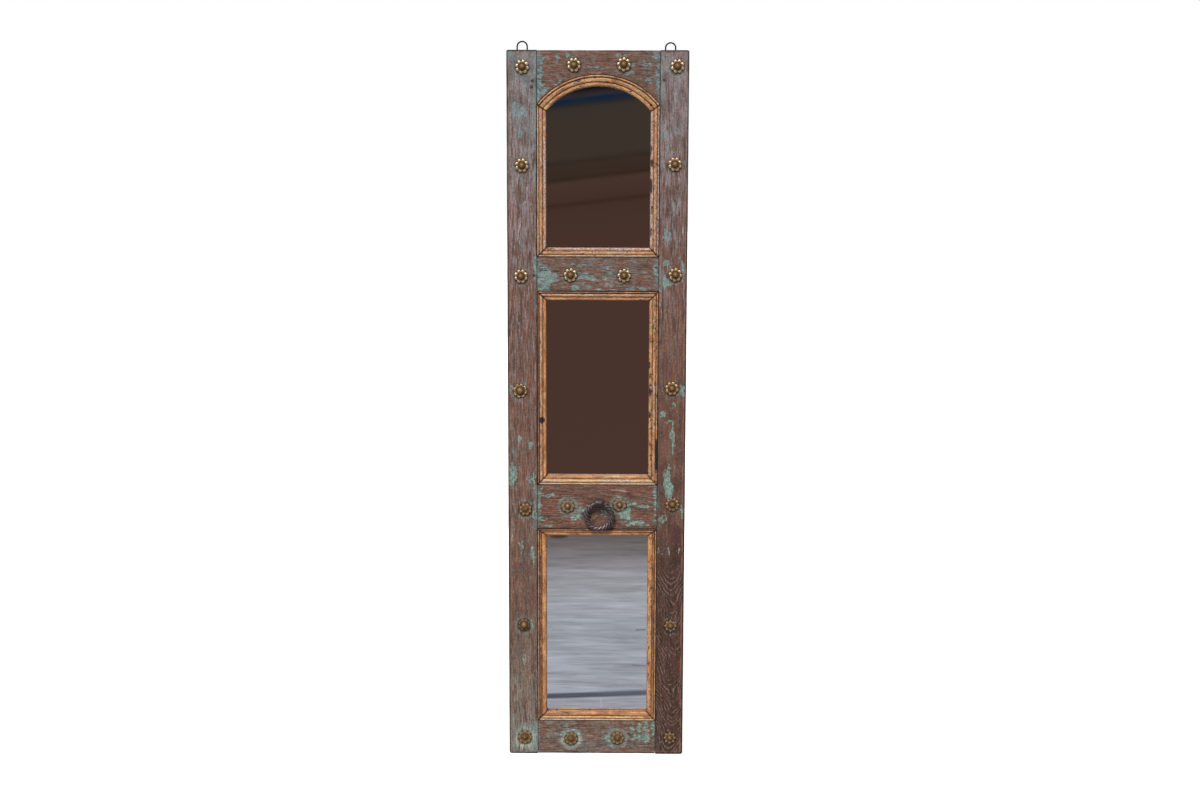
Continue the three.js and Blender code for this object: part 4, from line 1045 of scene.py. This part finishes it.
def make_mouldings():
    material = moulding_material()
    seed = 100
    left, right = OPENING_LEFT + GAP, OPENING_RIGHT - GAP
    wide, half = MOULDING_WIDTH, OPENING_HALF - GAP
    arch_inner = (ARCH_RADIUS - ARCH_WIDTH) ** 2 - (OPENING_HALF - wide) ** 2
    arch_inner = ARCH_CENTRE + math.sqrt(arch_inner)
    for pane, low, high, inner_high in (
        ("upper", UPPER_PANE[0] + GAP, ARCH_END, arch_inner),
        ("middle", MIDDLE_PANE[0] + GAP, MIDDLE_PANE[1] - GAP, MIDDLE_PANE[1] - GAP - wide),
        ("lower", LOWER_PANE[0] + GAP, LOWER_PANE[1] - GAP, LOWER_PANE[1] - GAP - NARROW_WIDTH),
    ):
        box = [(left, low), (right, low), (right, high), (left, high)]
        hole = [
            (left + wide, low + wide), (right - wide, low + wide),
            (right - wide, inner_high), (left + wide, inner_high),
        ]
        for k, side in enumerate(("bottom", "right", "top", "left")):
            if pane == "upper" and side == "top":
                continue
            outer, inner = (np.array([ring[k], ring[(k + 1) % 4]]) for ring in (box, hole))
            way = (outer[1] - outer[0]) / np.linalg.norm(outer[1] - outer[0])
            apart = np.outer([JOINT, -JOINT], way)
            outer, inner = outer + apart, inner + apart
            length = np.linalg.norm(outer[1] - outer[0])
            width = NARROW_WIDTH if (pane, side) == ("lower", "top") else wide
            seed += 10
            place = straight_place(outer, inner)
            make_strip(f"{pane}_{side}", place, length, width, seed, material)
    place = arch_place(half, ARCH_END + JOINT, OPENING_HALF - wide, arch_inner + JOINT)
    length = 2 * ARCH_RADIUS * math.asin(half / ARCH_RADIUS)
    make_strip("upper_arch", place, length, ARCH_WIDTH, 300, material)


# ---------------------------------------------------------------- round reliefs
# The rings under a relief's edge, as shares of its outline and of the edge's height.
UNDERSIDE = ((0.995, 0.5), (0.985, 0.0), (0.6, 0.0), (0.2, 0.0))


def make_relief(name, centre, facing, outline, height, material, nodes, rings=34,
                sides=128, fields=None, edge=0.9 * MM, twist=0.0):
    """A cast or turned piece that stands on a surface facing -Y or +Y. outline(angle) is
    its radius, and height(u, v) how far it stands off the surface."""
    angle = circle(sides)
    radius = outline(angle)[None, :] * np.linspace(0.03, 1, rings)[:, None]
    u, v = radius * np.cos(angle), radius * np.sin(angle)
    h = np.maximum(height(u, v), edge)
    h[-1] = edge
    u, v = (np.concatenate([a] + [a[-1:] * share for share, _ in UNDERSIDE]) for a in (u, v))
    h = np.concatenate([h] + [np.full((1, sides), edge * up) for _, up in UNDERSIDE])
    c, s = math.cos(twist), math.sin(twist)
    places = [centre[0] + c * u - s * v, centre[1] + facing * h, centre[2] + s * u + c * v]
    values = {key: rule(u, v, h) for key, rule in (fields or {}).items()}
    grid_piece(name, np.stack(places, axis=-1), material, nodes, values)


def disc(radius):
    """A round outline."""
    return lambda angle: np.full(len(angle), radius)


# The flowers' kinds: petals, radius, valley between petals, petal height, radius and
# height of the raised ring, radius and height of the knob, and words for what sets the
# kind apart. Millimetres.
KINDS = {
    "bloom": (8, 17.6, 13.4, 3.6, 10.2, 4.2, 7.6, 9.4, ""),
    "big_dome": (8, 18.4, 14.6, 3.4, 11.6, 4.0, 9.4, 11.3, "hollow"),
    "angular": (8, 15.6, 12.6, 3.2, 9.6, 4.8, 7.4, 9.8, "square"),
    "knob_plate": (8, 17.4, 14.2, 2.2, 9.8, 2.5, 7.6, 10.0, "painted"),
    "many_petals": (10, 18.0, 13.8, 3.8, 11.2, 4.2, 7.6, 9.4, "dull"),
    "ringed": (8, 15.0, 13.2, 1.9, 11.6, 3.5, 8.8, 10.3, "dull"),
    "pointed": (8, 17.0, 11.6, 2.6, 9.2, 3.5, 7.0, 8.4, "pointed dull"),
    "round_plate": (8, 18.6, 18.0, 2.1, 10.6, 2.4, 7.6, 10.3, "square dull"),
    "pyramid": (8, 17.2, 13.8, 2.4, 10.0, 3.0, 7.4, 10.3, "square dull"),
}
# Each flower's kind, its turn in degrees and how tarnished it is.
FLOWERS = {
    "1a": ("bloom", 12, 0.1), "1b": ("bloom", 20, 0.15), "1c": ("bloom", 4, 0.05),
    "1d": ("bloom", 22, 0.1), "2a": ("bloom", 17, 0.25), "2d": ("bloom", 21, 0.3),
    "3a": ("bloom", 22, 0.2), "3b": ("bloom", 10, 0.15), "3c": ("bloom", 3, 0.2),
    "3d": ("bloom", 8, 0.5), "4a": ("big_dome", 14, 0.6), "4d": ("bloom", 16, 0.7),
    "5a": ("angular", 22, 0.7), "5b": ("knob_plate", 0, 0.7), "5c": ("knob_plate", 14, 0.8),
    "5d": ("many_petals", 6, 0.9), "6a": ("ringed", 22, 0.8), "6d": ("pointed", 0, 0.8),
    "7a": ("round_plate", 45, 0.9), "7b": ("pyramid", 50, 0.9), "7c": ("pyramid", 0, 0.8),
    "7d": ("pointed", 0, 0.9),
}

PLATE = 0.9  # mm, how thick a flower is between its petals


def make_flower(key, kind, turn, tarnish, material):
    petals, radius, valley, petal_rise, cup, cup_rise, knob, knob_rise, words = KINDS[kind]
    half = math.pi / petals
    lobe = radius * math.sin(half) / (1 + math.sin(half)) * 1.04
    lobe_at = radius - lobe

    def off_axis(angle):
        return np.abs((angle + half) % (2 * half) - half)

    def outline(angle):
        a = off_axis(angle)
        if "pointed" in words:
            tip = valley + (radius - valley) * np.maximum(0, 1 - a / half) ** 1.1
        else:
            inside = lobe**2 - (lobe_at * np.sin(a)) ** 2
            tip = lobe_at * np.cos(a) + np.sqrt(np.maximum(inside, 0))
        return np.maximum(tip, valley) * MM

    def shape(u, v):
        """Height, swell of the petals, distance from the middle and height of the knob."""
        u, v = u / MM, v / MM
        r, a = np.hypot(u, v), off_axis(np.arctan2(v, u))
        along, aside = r * np.cos(a), r * np.sin(a)
        tip = np.hypot((along - lobe_at) / 1.15, aside) / lobe
        swell = np.sqrt(np.clip(1 - tip**2, 0, 1))
        if "hollow" in words:
            swell = swell - 0.55 * np.clip(1 - (tip / 0.6) ** 2, 0, 1)
        crease = rise(aside / np.maximum(r * math.sin(half), 0.1), 1.0, 0.55)
        body = 0.45 * crease * rise(r, cup, cup + 2)
        petal = PLATE + (petal_rise - PLATE) * np.maximum(body, swell)
        ring = cup_rise * np.exp(-(((r - cup) / 1.5) ** 2) * 1.2)
        dish = np.where(r < cup, cup_rise - 1.3, 0)
        if "square" in words:
            dome = np.clip(1 - np.maximum(np.abs(u), np.abs(v)) / knob, 0, 1)
        else:
            dome = np.sqrt(np.clip(1 - (r / knob) ** 2, 0, 1))
        dome = cup_rise - 1 + (knob_rise - cup_rise + 1) * dome
        if "square" not in words:
            dome = np.where(r < knob, dome, 0)
        return np.maximum.reduce([petal, ring, dish, dome]) * MM, swell, r, dome

    # How light the brass is painted: the petal tips, the raised ring and the knob's top light, as
    # polish and painted highlight; the dish and the low plate dark, as painted shade.
    shine = 0.72 if "dull" in words else 0.95 - 0.1 * tarnish

    def relief(u, v, h):
        _, swell, r, dome = shape(u, v)
        tips = rise(swell, 0.15, 0.7) * rise(r, cup, cup + 2.5)
        ring = 0.42 * np.exp(-(((r - cup) / 1.0) ** 2))
        top = 0.26 + 0.5 * rise(dome, cup_rise + 3, knob_rise + 0.4) * (0.6 + 0.26 * tarnish)
        inner = np.where(r < knob + 0.2, top, 0.16)
        value = np.where(r > cup, np.maximum(tips * shine, ring), np.maximum(ring, inner))
        return np.where(h < 1.2 * MM, 0.0, value)

    def crust(u, v, h):
        amount = 1.0 if "painted" in words else (0.3 if "dull" in words else 0.06)
        return amount * rise(np.hypot(u, v) / MM, knob, knob + 2)

    name = "flower_" + key
    centre = FLOWER_CENTRES[name].copy()
    centre[1] = (FRONT if key[1] in "ad" else RAIL_FRONT) - GAP
    make_relief(
        name, centre, -1, outline, lambda u, v: shape(u, v)[0], material, [name],
        fields={"relief": relief, "crust": crust, "tarnish": lambda u, v, h: 0 * u + tarnish},
        twist=math.radians(-turn),
    )


def make_flowers():
    material = brass_material()
    for key, (kind, turn, tarnish) in FLOWERS.items():
        make_flower(key, kind, turn, tarnish, material)


# ---------------------------------------------------------------- ring pull
EYE = np.array([6.5, -29.3, 674.5]) * MM
RING_RADIUS = 33 * MM
RING_BAR = 6.4 * MM
RING_NECK = 5.8 * MM
RING_TOP = 674.2 * MM
RING_STEPS = 400
RING_TWISTS = 5
RING_STRANDS = 4
RING_RIDGE = 0.088
EYE_RADIUS = 12 * MM
EYE_WIDTH = 22 * MM
EYE_ROUND = 3.2 * MM
EYE_STEPS = 72
BAR_STEPS = 32
TUBE_SIDES = 28
LEG_HALF = 3.5 * MM


def make_tube(name, path, section, material, nodes, body, fields=None):
    """A bar along a closed loop in the XZ plane. section(i, angle) gives its radius."""
    ahead = np.roll(path, -1, axis=0) - np.roll(path, 1, axis=0)
    ahead /= np.linalg.norm(ahead, axis=1)[:, None]
    aside = np.stack([-ahead[:, 2], np.zeros(len(path)), ahead[:, 0]], axis=1)
    i, a = np.meshgrid(np.arange(len(path)), circle(TUBE_SIDES), indexing="ij")
    radius = section(i, a)
    points = path[:, None, :] + aside[:, None, :] * (radius * np.cos(a))[..., None]
    points[..., 1] += radius * np.sin(a)
    values = {key: rule(i, a) for key, rule in (fields or {}).items()}
    grid_piece(name, points, material, nodes, values, body, closed=True)


def make_ring(material):
    turn = circle(RING_STEPS)
    path = np.stack([RING_RADIUS * np.sin(turn), 0 * turn, RING_RADIUS * np.cos(turn)], axis=1)
    path += [EYE[0], EYE[1], RING_TOP - RING_RADIUS]
    from_top = np.minimum(turn, TURN - turn)
    neck = math.asin(EYE_WIDTH / 2 / RING_RADIUS)
    twist = rise(from_top, neck, neck * 1.5)

    def strands(i, a):
        return np.cos(RING_STRANDS * (a - RING_TWISTS * turn[i]))

    def section(i, a):
        bar = RING_NECK + (RING_BAR - RING_NECK) * twist[i]
        sharp = np.sign(strands(i, a)) * np.abs(strands(i, a)) ** 0.8
        return bar * (1 + RING_RIDGE * twist[i] * sharp) - 0.1 * MM

    def worn(i, a):
        facing = rise(-np.sin(a), 0.1, 0.7) * rise(-np.cos(a), -0.5, 0.4)
        low = rise(from_top[i], 2.2, 2.8)
        return 0.6 * rise(strands(i, a), 0.3, 0.9) * twist[i] * low * facing

    # Painted highlight along the twist's crests.
    def highlight(i, a):
        return 0.75 * rise(strands(i, a), 0.1, 0.9) * twist[i]

    fields = {"worn": worn, "highlight": highlight}
    make_tube("ring_pull", path, section, material, ["ring_pull"], "ring", fields)


def make_eye(material):
    """The forged eye is a barrel round X with a flared bore."""
    half, inner = EYE_WIDTH / 2, EYE_WIDTH / 2 - EYE_ROUND
    corner = [
        (inner + EYE_ROUND * math.cos(a), EYE_RADIUS - EYE_ROUND + EYE_ROUND * math.sin(a))
        for a in np.linspace(math.pi / 2, 0, 6)
    ]
    profile = [(-x, r) for x, r in reversed(corner)]
    profile += [(x, EYE_RADIUS) for x in np.linspace(-inner, inner, 8)[1:-1]]
    profile += corner
    inside = RING_RADIUS - RING_NECK
    for x in np.linspace(half, -half, 12):
        profile.append((x, RING_NECK + 0.6 * MM + (inside - math.sqrt(inside**2 - x**2))))
    turn = circle(EYE_STEPS)[:, None]
    x, r = (np.tile(side, (EYE_STEPS, 1)) for side in np.array(profile).T)
    flats = np.abs(np.cos(4.5 * turn))
    outer = rise(r, EYE_RADIUS - EYE_ROUND, EYE_RADIUS)
    r -= outer * (0.9 * MM * (1 - flats) + 0.7 * MM * np.abs(x / half) ** 2)
    points = EYE + np.stack([x, r * np.sin(turn), r * np.cos(turn)], axis=-1)
    hammer = noise(points, 5, 61)
    points += (EYE - points) * (outer * hammer * 0.06)[..., None]
    # Painted highlight on the eye's top, broken up by its hammer marks.
    highlight = 0.12 * outer * rise(hammer, 0.55, 0.2) * rise(np.cos(turn), 0.2, 0.9)
    fields = {"worn": 0 * highlight, "highlight": highlight}
    grid_piece("ring_eye", points, material, ["ring_staple"], fields, closed=True)


def make_bar(name, low, high, material):
    """A hammered bar between two corners, its grain along Z."""
    stations = spaced(low[2], high[2], 1.2 * MM)
    end = np.minimum(stations - low[2], high[2] - stations)
    inset = np.maximum(0, 0.7 * MM - end)
    corners = circle(BAR_STEPS) + math.pi / BAR_STEPS
    u, v = (np.sign(a) * np.abs(a) ** 0.35 for a in (np.cos(corners), np.sin(corners)))
    middle = (low + high) / 2
    half_x, half_y = (((high[k] - low[k]) / 2 - inset)[:, None] for k in (0, 1))
    z = np.tile(stations[:, None], (1, BAR_STEPS))
    points = np.stack([middle[0] + half_x * u, middle[1] + half_y * v, z], axis=-1)
    dent = noise(points, 4, 71)
    for k in (0, 1):
        points[..., k] += (middle[k] - points[..., k]) * dent * 0.12
    # An even share of the highlight colour over the whole bar.
    fields = {"worn": 0 * dent, "highlight": 0 * dent + 0.15}
    grid_piece(name, points, material, [], fields)


def make_pull():
    material = iron_material()
    make_ring(material)
    make_eye(material)
    behind = BACK + GAP
    for name, half_length, front, back in (
        ("ring_clinch", 24.5 * MM, behind, behind + 3 * MM),
        ("ring_leg", 4.5 * MM, EYE[1] + 10.5 * MM, RAIL_FRONT + 6 * MM),
    ):
        low = np.array([EYE[0] - LEG_HALF, front, EYE[2] - half_length])
        high = np.array([EYE[0] + LEG_HALF, back, EYE[2] + half_length])
        make_bar(name, low, high, material)


# ---------------------------------------------------------------- hangers, pegs, brads
LOOP_WIRE = 1.9 * MM
LOOP_HALF = 12.6 * MM
LOOP_HEIGHT = 36 * MM
LOOP_CORNER = 3.2 * MM
LOOP_Y = 23.15 * MM
LOOPS = {"left": (-190.5 * MM, 1808.1 * MM), "right": (182.5 * MM, 1805.6 * MM)}
SCREW_DROPS = (10 * MM, 25 * MM)
SCREW_SEAT = 21.6 * MM
PEG_RADIUS = 3 * MM
PEG_DEPTH = 7 * MM
BRAD_RADIUS = 1.8 * MM
BRAD_HEIGHT = 1.1 * MM
BRAD_DOME = 125
BRAD_INSET = 3 * MM
BRAD_END = 50 * MM
BRADS_ACROSS = (-80 * MM, 80 * MM)
BRADS_ROUND = (-0.6, -0.2, 0.2, 0.6)


def round_wire(i, angle):
    return np.full(i.shape, LOOP_WIRE)


def loop_path(x, z):
    """The closed line of a hanging loop whose straight foot has its middle at x and z."""

    def arc(cx, cz, radius, start, end, steps):
        a = np.linspace(start, end, steps)
        return [(cx + radius * math.cos(t), cz + radius * math.sin(t)) for t in a]

    quarter = math.pi / 2
    h, r = LOOP_HALF, LOOP_CORNER
    outline = arc(h - r, r, r, -quarter, 0, 8)
    outline += [(h, t) for t in np.linspace(r, LOOP_HEIGHT - h, 10)[1:-1]]
    outline += arc(0, LOOP_HEIGHT - h, h, 0, 2 * quarter, 40)
    outline += [(-h, t) for t in np.linspace(LOOP_HEIGHT - h, r, 10)[1:-1]]
    outline += arc(-h + r, r, r, 2 * quarter, 3 * quarter, 8)
    outline += [(t, 0) for t in np.linspace(-h + r, h - r, 12)[1:-1]]
    return np.array([(x + a, LOOP_Y, z + b) for a, b in outline])


def screw_head(u, v):
    """A low dome with a cross cut into it."""
    r = np.hypot(u, v)
    dome = 0.6 * MM + 1.5 * MM * np.sqrt(np.clip(1 - (r / (4.2 * MM)) ** 2, 0, 1))
    cross = rise(np.minimum(np.abs(u), np.abs(v)), 0.6 * MM, 0.3 * MM)
    return dome - 1.1 * MM * cross * rise(r, 2.6 * MM, 1.9 * MM)


def make_hangers():
    wire = plain_metal("wire", rgb(5, 5, 6), rgb(18, 17, 18), 0.55, 0.0, specular=0.2)
    zinc = plain_metal("zinc", rgb(112, 114, 116), rgb(168, 170, 170), 0.36, 0.9, grain=5)
    for side, (x, z) in LOOPS.items():
        loop, path = "hanger_loop_" + side, loop_path(x, z)
        make_tube(loop, path, round_wire, wire, [loop], "loop_" + side)
        dress("hanger_strap_" + side, zinc, bevel=0.25 * MM)
        for number, drop in enumerate(SCREW_DROPS, 1):
            name = f"hanger_screw_{side}_{number}"
            make_relief(
                name, (x, SCREW_SEAT, z - drop), 1, disc(4 * MM), screw_head, zinc,
                [name], rings=26, sides=80, edge=0.3 * MM, twist=0.4 * number,
            )


def dress(name, material, bevel=0.0):
    """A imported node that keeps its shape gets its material, and softened edges."""
    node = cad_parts[name]
    node.data.materials.clear()
    node.data.materials.append(material)
    if bevel:
        made = node.modifiers.new("edges", "BEVEL")
        made.width = bevel
        made.segments = 2
        made.limit_method = "ANGLE"


def make_pegs():
    material = peg_material()
    for name, centre in PEG_CENTRES.items():

        def top(u, v):
            rough = noise(np.stack([u + centre[0], v, 0 * u], axis=-1), 1.5, 83)
            worn = 0.5 * MM * rough + 0.8 * MM * rise(np.hypot(u, v) / PEG_RADIUS, 0.8, 1.0)
            return PEG_DEPTH - 0.3 * MM - worn

        seat = (centre[0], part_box(name)[0][1] + PEG_DEPTH, centre[2])
        make_relief(
            name, seat, -1, disc(PEG_RADIUS - 0.05 * MM), top, material, [name],
            rings=14, sides=32, edge=PEG_DEPTH - 1.2 * MM,
        )


def brad_head(u, v):
    return BRAD_HEIGHT - BRAD_DOME * (u * u + v * v)


def make_panes():
    mirror, board = mirror_material(), backing_material()
    brad = plain_metal("brad", rgb(60, 56, 54), rgb(120, 116, 112), 0.45, 0.8)
    for pane, bottom, top, side_top in (
        ("upper", *UPPER_PANE, ARCH_END),
        ("middle", *MIDDLE_PANE, MIDDLE_PANE[1]),
        ("lower", *LOWER_PANE, LOWER_PANE[1]),
    ):
        dress("mirror_" + pane, mirror)
        dress("backing_" + pane, board)
        heights = np.linspace(bottom + BRAD_END, side_top - BRAD_END, 4)
        sides = (OPENING_LEFT - BRAD_INSET, OPENING_RIGHT + BRAD_INSET)
        spots = [(x, z) for x in sides for z in heights]
        spots += [(x, bottom - BRAD_INSET) for x in BRADS_ACROSS]
        if pane == "upper":
            radius = ARCH_RADIUS + BRAD_INSET
            spots += [
                (OPENING_MIDDLE + radius * math.sin(a), ARCH_CENTRE + radius * math.cos(a))
                for a in BRADS_ROUND
            ]
        else:
            spots += [(x, top + BRAD_INSET) for x in BRADS_ACROSS]
        for number, (x, z) in enumerate(spots, 1):
            make_relief(
                f"brad_{pane}_{number}", (x, BACKING_BACK + 0.05 * MM, z), 1,
                disc(BRAD_RADIUS), brad_head, brad, [],
                rings=8, sides=20, edge=0.3 * MM,
            )


# ---------------------------------------------------------------- stage
FLOOR_HALF = 60
CARD_HALF = 4
WALL_Y = -3.0
WALL_TOP = 2.6
CARD_FRONT = -0.04
CARD_Z = 2 * MM
MARK_Z = 4 * MM
TOWARDS_LIGHT = (-0.35, -1.0, 1.15)
SQUARE = ((-1, -1), (1, -1), (1, 1), (-1, 1))
# How the wall's lines and the planks lean, as the mirrors show them.
SLOPE = 0.12
WHITE = (1, 1, 1, 1)
SKY_LIGHT = 0.4
FLOOR_GLOW = 0.9
LAMP_LIGHT = 2.9
LAMP_SPREAD = math.radians(14)
# The colours of what stood behind the camera, by height in metres, and of the planks
# before the mirror, by distance. They glow on cards that only glossy surfaces see: a
# painted reflection.
WALL_COLOURS = [
    (0.0, rgb(78, 56, 48)), (1.0, rgb(76, 55, 47)), (1.30, rgb(74, 53, 45)),
    (1.425, rgb(72, 52, 44)), (1.440, rgb(58, 41, 35)), (1.455, rgb(72, 52, 44)),
    (1.53, rgb(75, 56, 46)), (1.541, rgb(78, 58, 46)), (1.548, rgb(44, 32, 28)),
    (1.562, rgb(60, 46, 38)), (1.615, rgb(62, 48, 40)), (1.624, rgb(54, 44, 37)),
    (1.65, rgb(64, 54, 46)), (1.86, rgb(61, 53, 46)), (1.881, rgb(40, 38, 42)),
    (1.886, rgb(20, 42, 64)), (1.903, rgb(18, 36, 58)), (1.912, rgb(58, 50, 54)),
    (1.935, rgb(30, 26, 28)), (1.95, rgb(12, 11, 12)), (2.6, rgb(10, 10, 10)),
]
PLANK_COLOURS = [
    (0.2, rgb(166, 166, 176)), (0.430, rgb(160, 162, 172)), (0.434, rgb(84, 88, 99)),
    (0.480, rgb(94, 98, 109)), (0.484, rgb(166, 168, 178)), (1.1, rgb(166, 169, 179)),
    (1.6, rgb(168, 169, 176)), (2.0, rgb(150, 148, 154)), (2.35, rgb(120, 113, 113)),
    (2.7, rgb(98, 89, 87)), (3.1, rgb(84, 72, 68)),
]


def stage_piece(name, corners, material, reflected=True):
    """A flat piece of the stage. A reflected one shows in glossy surfaces, nowhere else."""
    mesh = bpy.data.meshes.new(name)
    mesh.from_pydata(corners, [], [list(range(len(corners)))])
    mesh.materials.append(material)
    made = bpy.data.objects.new(name, mesh)
    bpy.context.scene.collection.objects.link(made)
    if reflected:
        for ray in ("camera", "diffuse", "shadow", "transmission", "volume_scatter"):
            setattr(made, "visible_" + ray, False)


def on_floor(px, py):
    """The place on the floor that the lower mirror shows at a pixel of the photograph."""
    way = FORWARD + (px - PHOTO_WIDTH / 2) / FOCAL * RIGHT - (py - PHOTO_HEIGHT / 2) / FOCAL * UP
    glass = CAMERA_PLACE + way * (GLASS_FRONT - CAMERA_PLACE[1]) / way[1]
    place = glass + way * np.array([1, -1, 1]) * (MARK_Z - glass[2]) / way[2]
    return (place[0], max(place[1], WALL_Y + 0.01), MARK_Z)


def oval(x, y, half_width, half_height):
    return [(x + half_width * math.cos(a), y + half_height * math.sin(a)) for a in circle(24)]


# Glowing marks that paint the floor in the lower mirror's reflection: outlines in the photograph's
# pixels.
MARKS = [
    (oval(558.5, 536.6, 9.5, 1.7), rgb(66, 56, 50)),
    ([(600.4, 697), (601.8, 697), (601.8, 707.5), (600.4, 707.5)], rgb(176, 178, 186)),
    ([(547, 651.8), (600, 651.2), (645, 653.2), (645, 654.1), (600, 652.2), (547, 653)],
     rgb(176, 178, 188)),
    ([(635.5, 629.4), (646, 629.0), (646, 630.0), (635.5, 630.6)], rgb(98, 102, 116)),
    ([(632, 664.6), (646, 665.3), (646, 666.1), (632, 665.5)], rgb(112, 116, 130)),
]


def make_world():
    """A white studio that lights the object less than it shows."""
    scene = bpy.context.scene
    scene.view_settings.view_transform = "Standard"
    scene.world = bpy.data.worlds.new("studio")
    scene.world.use_nodes = True
    tree = scene.world.node_tree
    sky, seen = tree.nodes["Background"], tree.nodes.new("ShaderNodeBackground")
    sky.inputs["Color"].default_value = seen.inputs["Color"].default_value = WHITE
    sky.inputs["Strength"].default_value = SKY_LIGHT
    path, both = (tree.nodes.new("ShaderNode" + kind) for kind in ("LightPath", "MixShader"))
    for start, end in (
        (path.outputs["Is Camera Ray"], both.inputs[0]), (sky.outputs[0], both.inputs[1]),
        (seen.outputs[0], both.inputs[2]),
        (both.outputs[0], tree.nodes["World Output"].inputs["Surface"]),
    ):
        tree.links.new(start, end)


def make_lamp():
    data = bpy.data.lights.new("key", "SUN")
    data.energy = LAMP_LIGHT
    data.angle = LAMP_SPREAD
    lamp = bpy.data.objects.new("key", data)
    bpy.context.scene.collection.objects.link(lamp)
    lamp.rotation_euler = Vector(TOWARDS_LIGHT).to_track_quat("Z", "Y").to_euler()


def make_stage():
    make_world()
    s = Shader("pale_floor")
    lift = s.node("ShaderNodeLightPath", {}, "Is Camera Ray") * FLOOR_GLOW
    s.put(s.surface.inputs["Emission Color"], WHITE)
    s.put(s.surface.inputs["Emission Strength"], lift)
    ground = s.finish(rgb(180, 180, 180), 0.9)
    corners = [(x * FLOOR_HALF, y * FLOOR_HALF, 0) for x, y in SQUARE]
    stage_piece("floor", corners, ground, reflected=False)

    # The wall, the planks and the marks are glowing cards that only glossy surfaces see: painted
    # reflections.
    s = Shader("dark_wall")
    x, _, z = s.axes()
    wall = s.glow(s.ramp(z - x * SLOPE, WALL_COLOURS))
    corners = [(x * CARD_HALF, WALL_Y, WALL_TOP * (z + 1) / 2) for x, z in SQUARE]
    stage_piece("dark_wall", corners, wall)

    s = Shader("grey_planks")
    x, y, _ = s.axes()
    colour = s.ramp(y * -1.0 - x * SLOPE, PLANK_COLOURS)
    broad = s.noise((550, 140, 1000), detail=2, distortion=0.8)
    streak = s.noise((340, 45, 1000), detail=4, roughness=0.65, distortion=0.5)
    fine = s.noise((120, 12, 1000), detail=4, roughness=0.7)
    grain = (broad * 0.4 + streak * 0.6) * 0.6 + fine * 0.4
    planks = s.glow(s.shade(colour, grain, 0.34, 0.66, 0.62, 1.36))
    ends = (CARD_FRONT, WALL_Y)
    corners = [(x * CARD_HALF, ends[y > 0], CARD_Z) for x, y in SQUARE]
    stage_piece("grey_planks", corners, planks)

    for number, (outline, colour) in enumerate(MARKS):
        spots = [on_floor(x, y) for x, y in outline]
        stage_piece(f"floor_mark_{number}", spots, Shader(f"mark_{number}").glow(colour))
    make_lamp()


make_camera()
make_boards()
make_mouldings()
make_flowers()
make_pull()
make_hangers()
make_pegs()
make_panes()
make_stage()
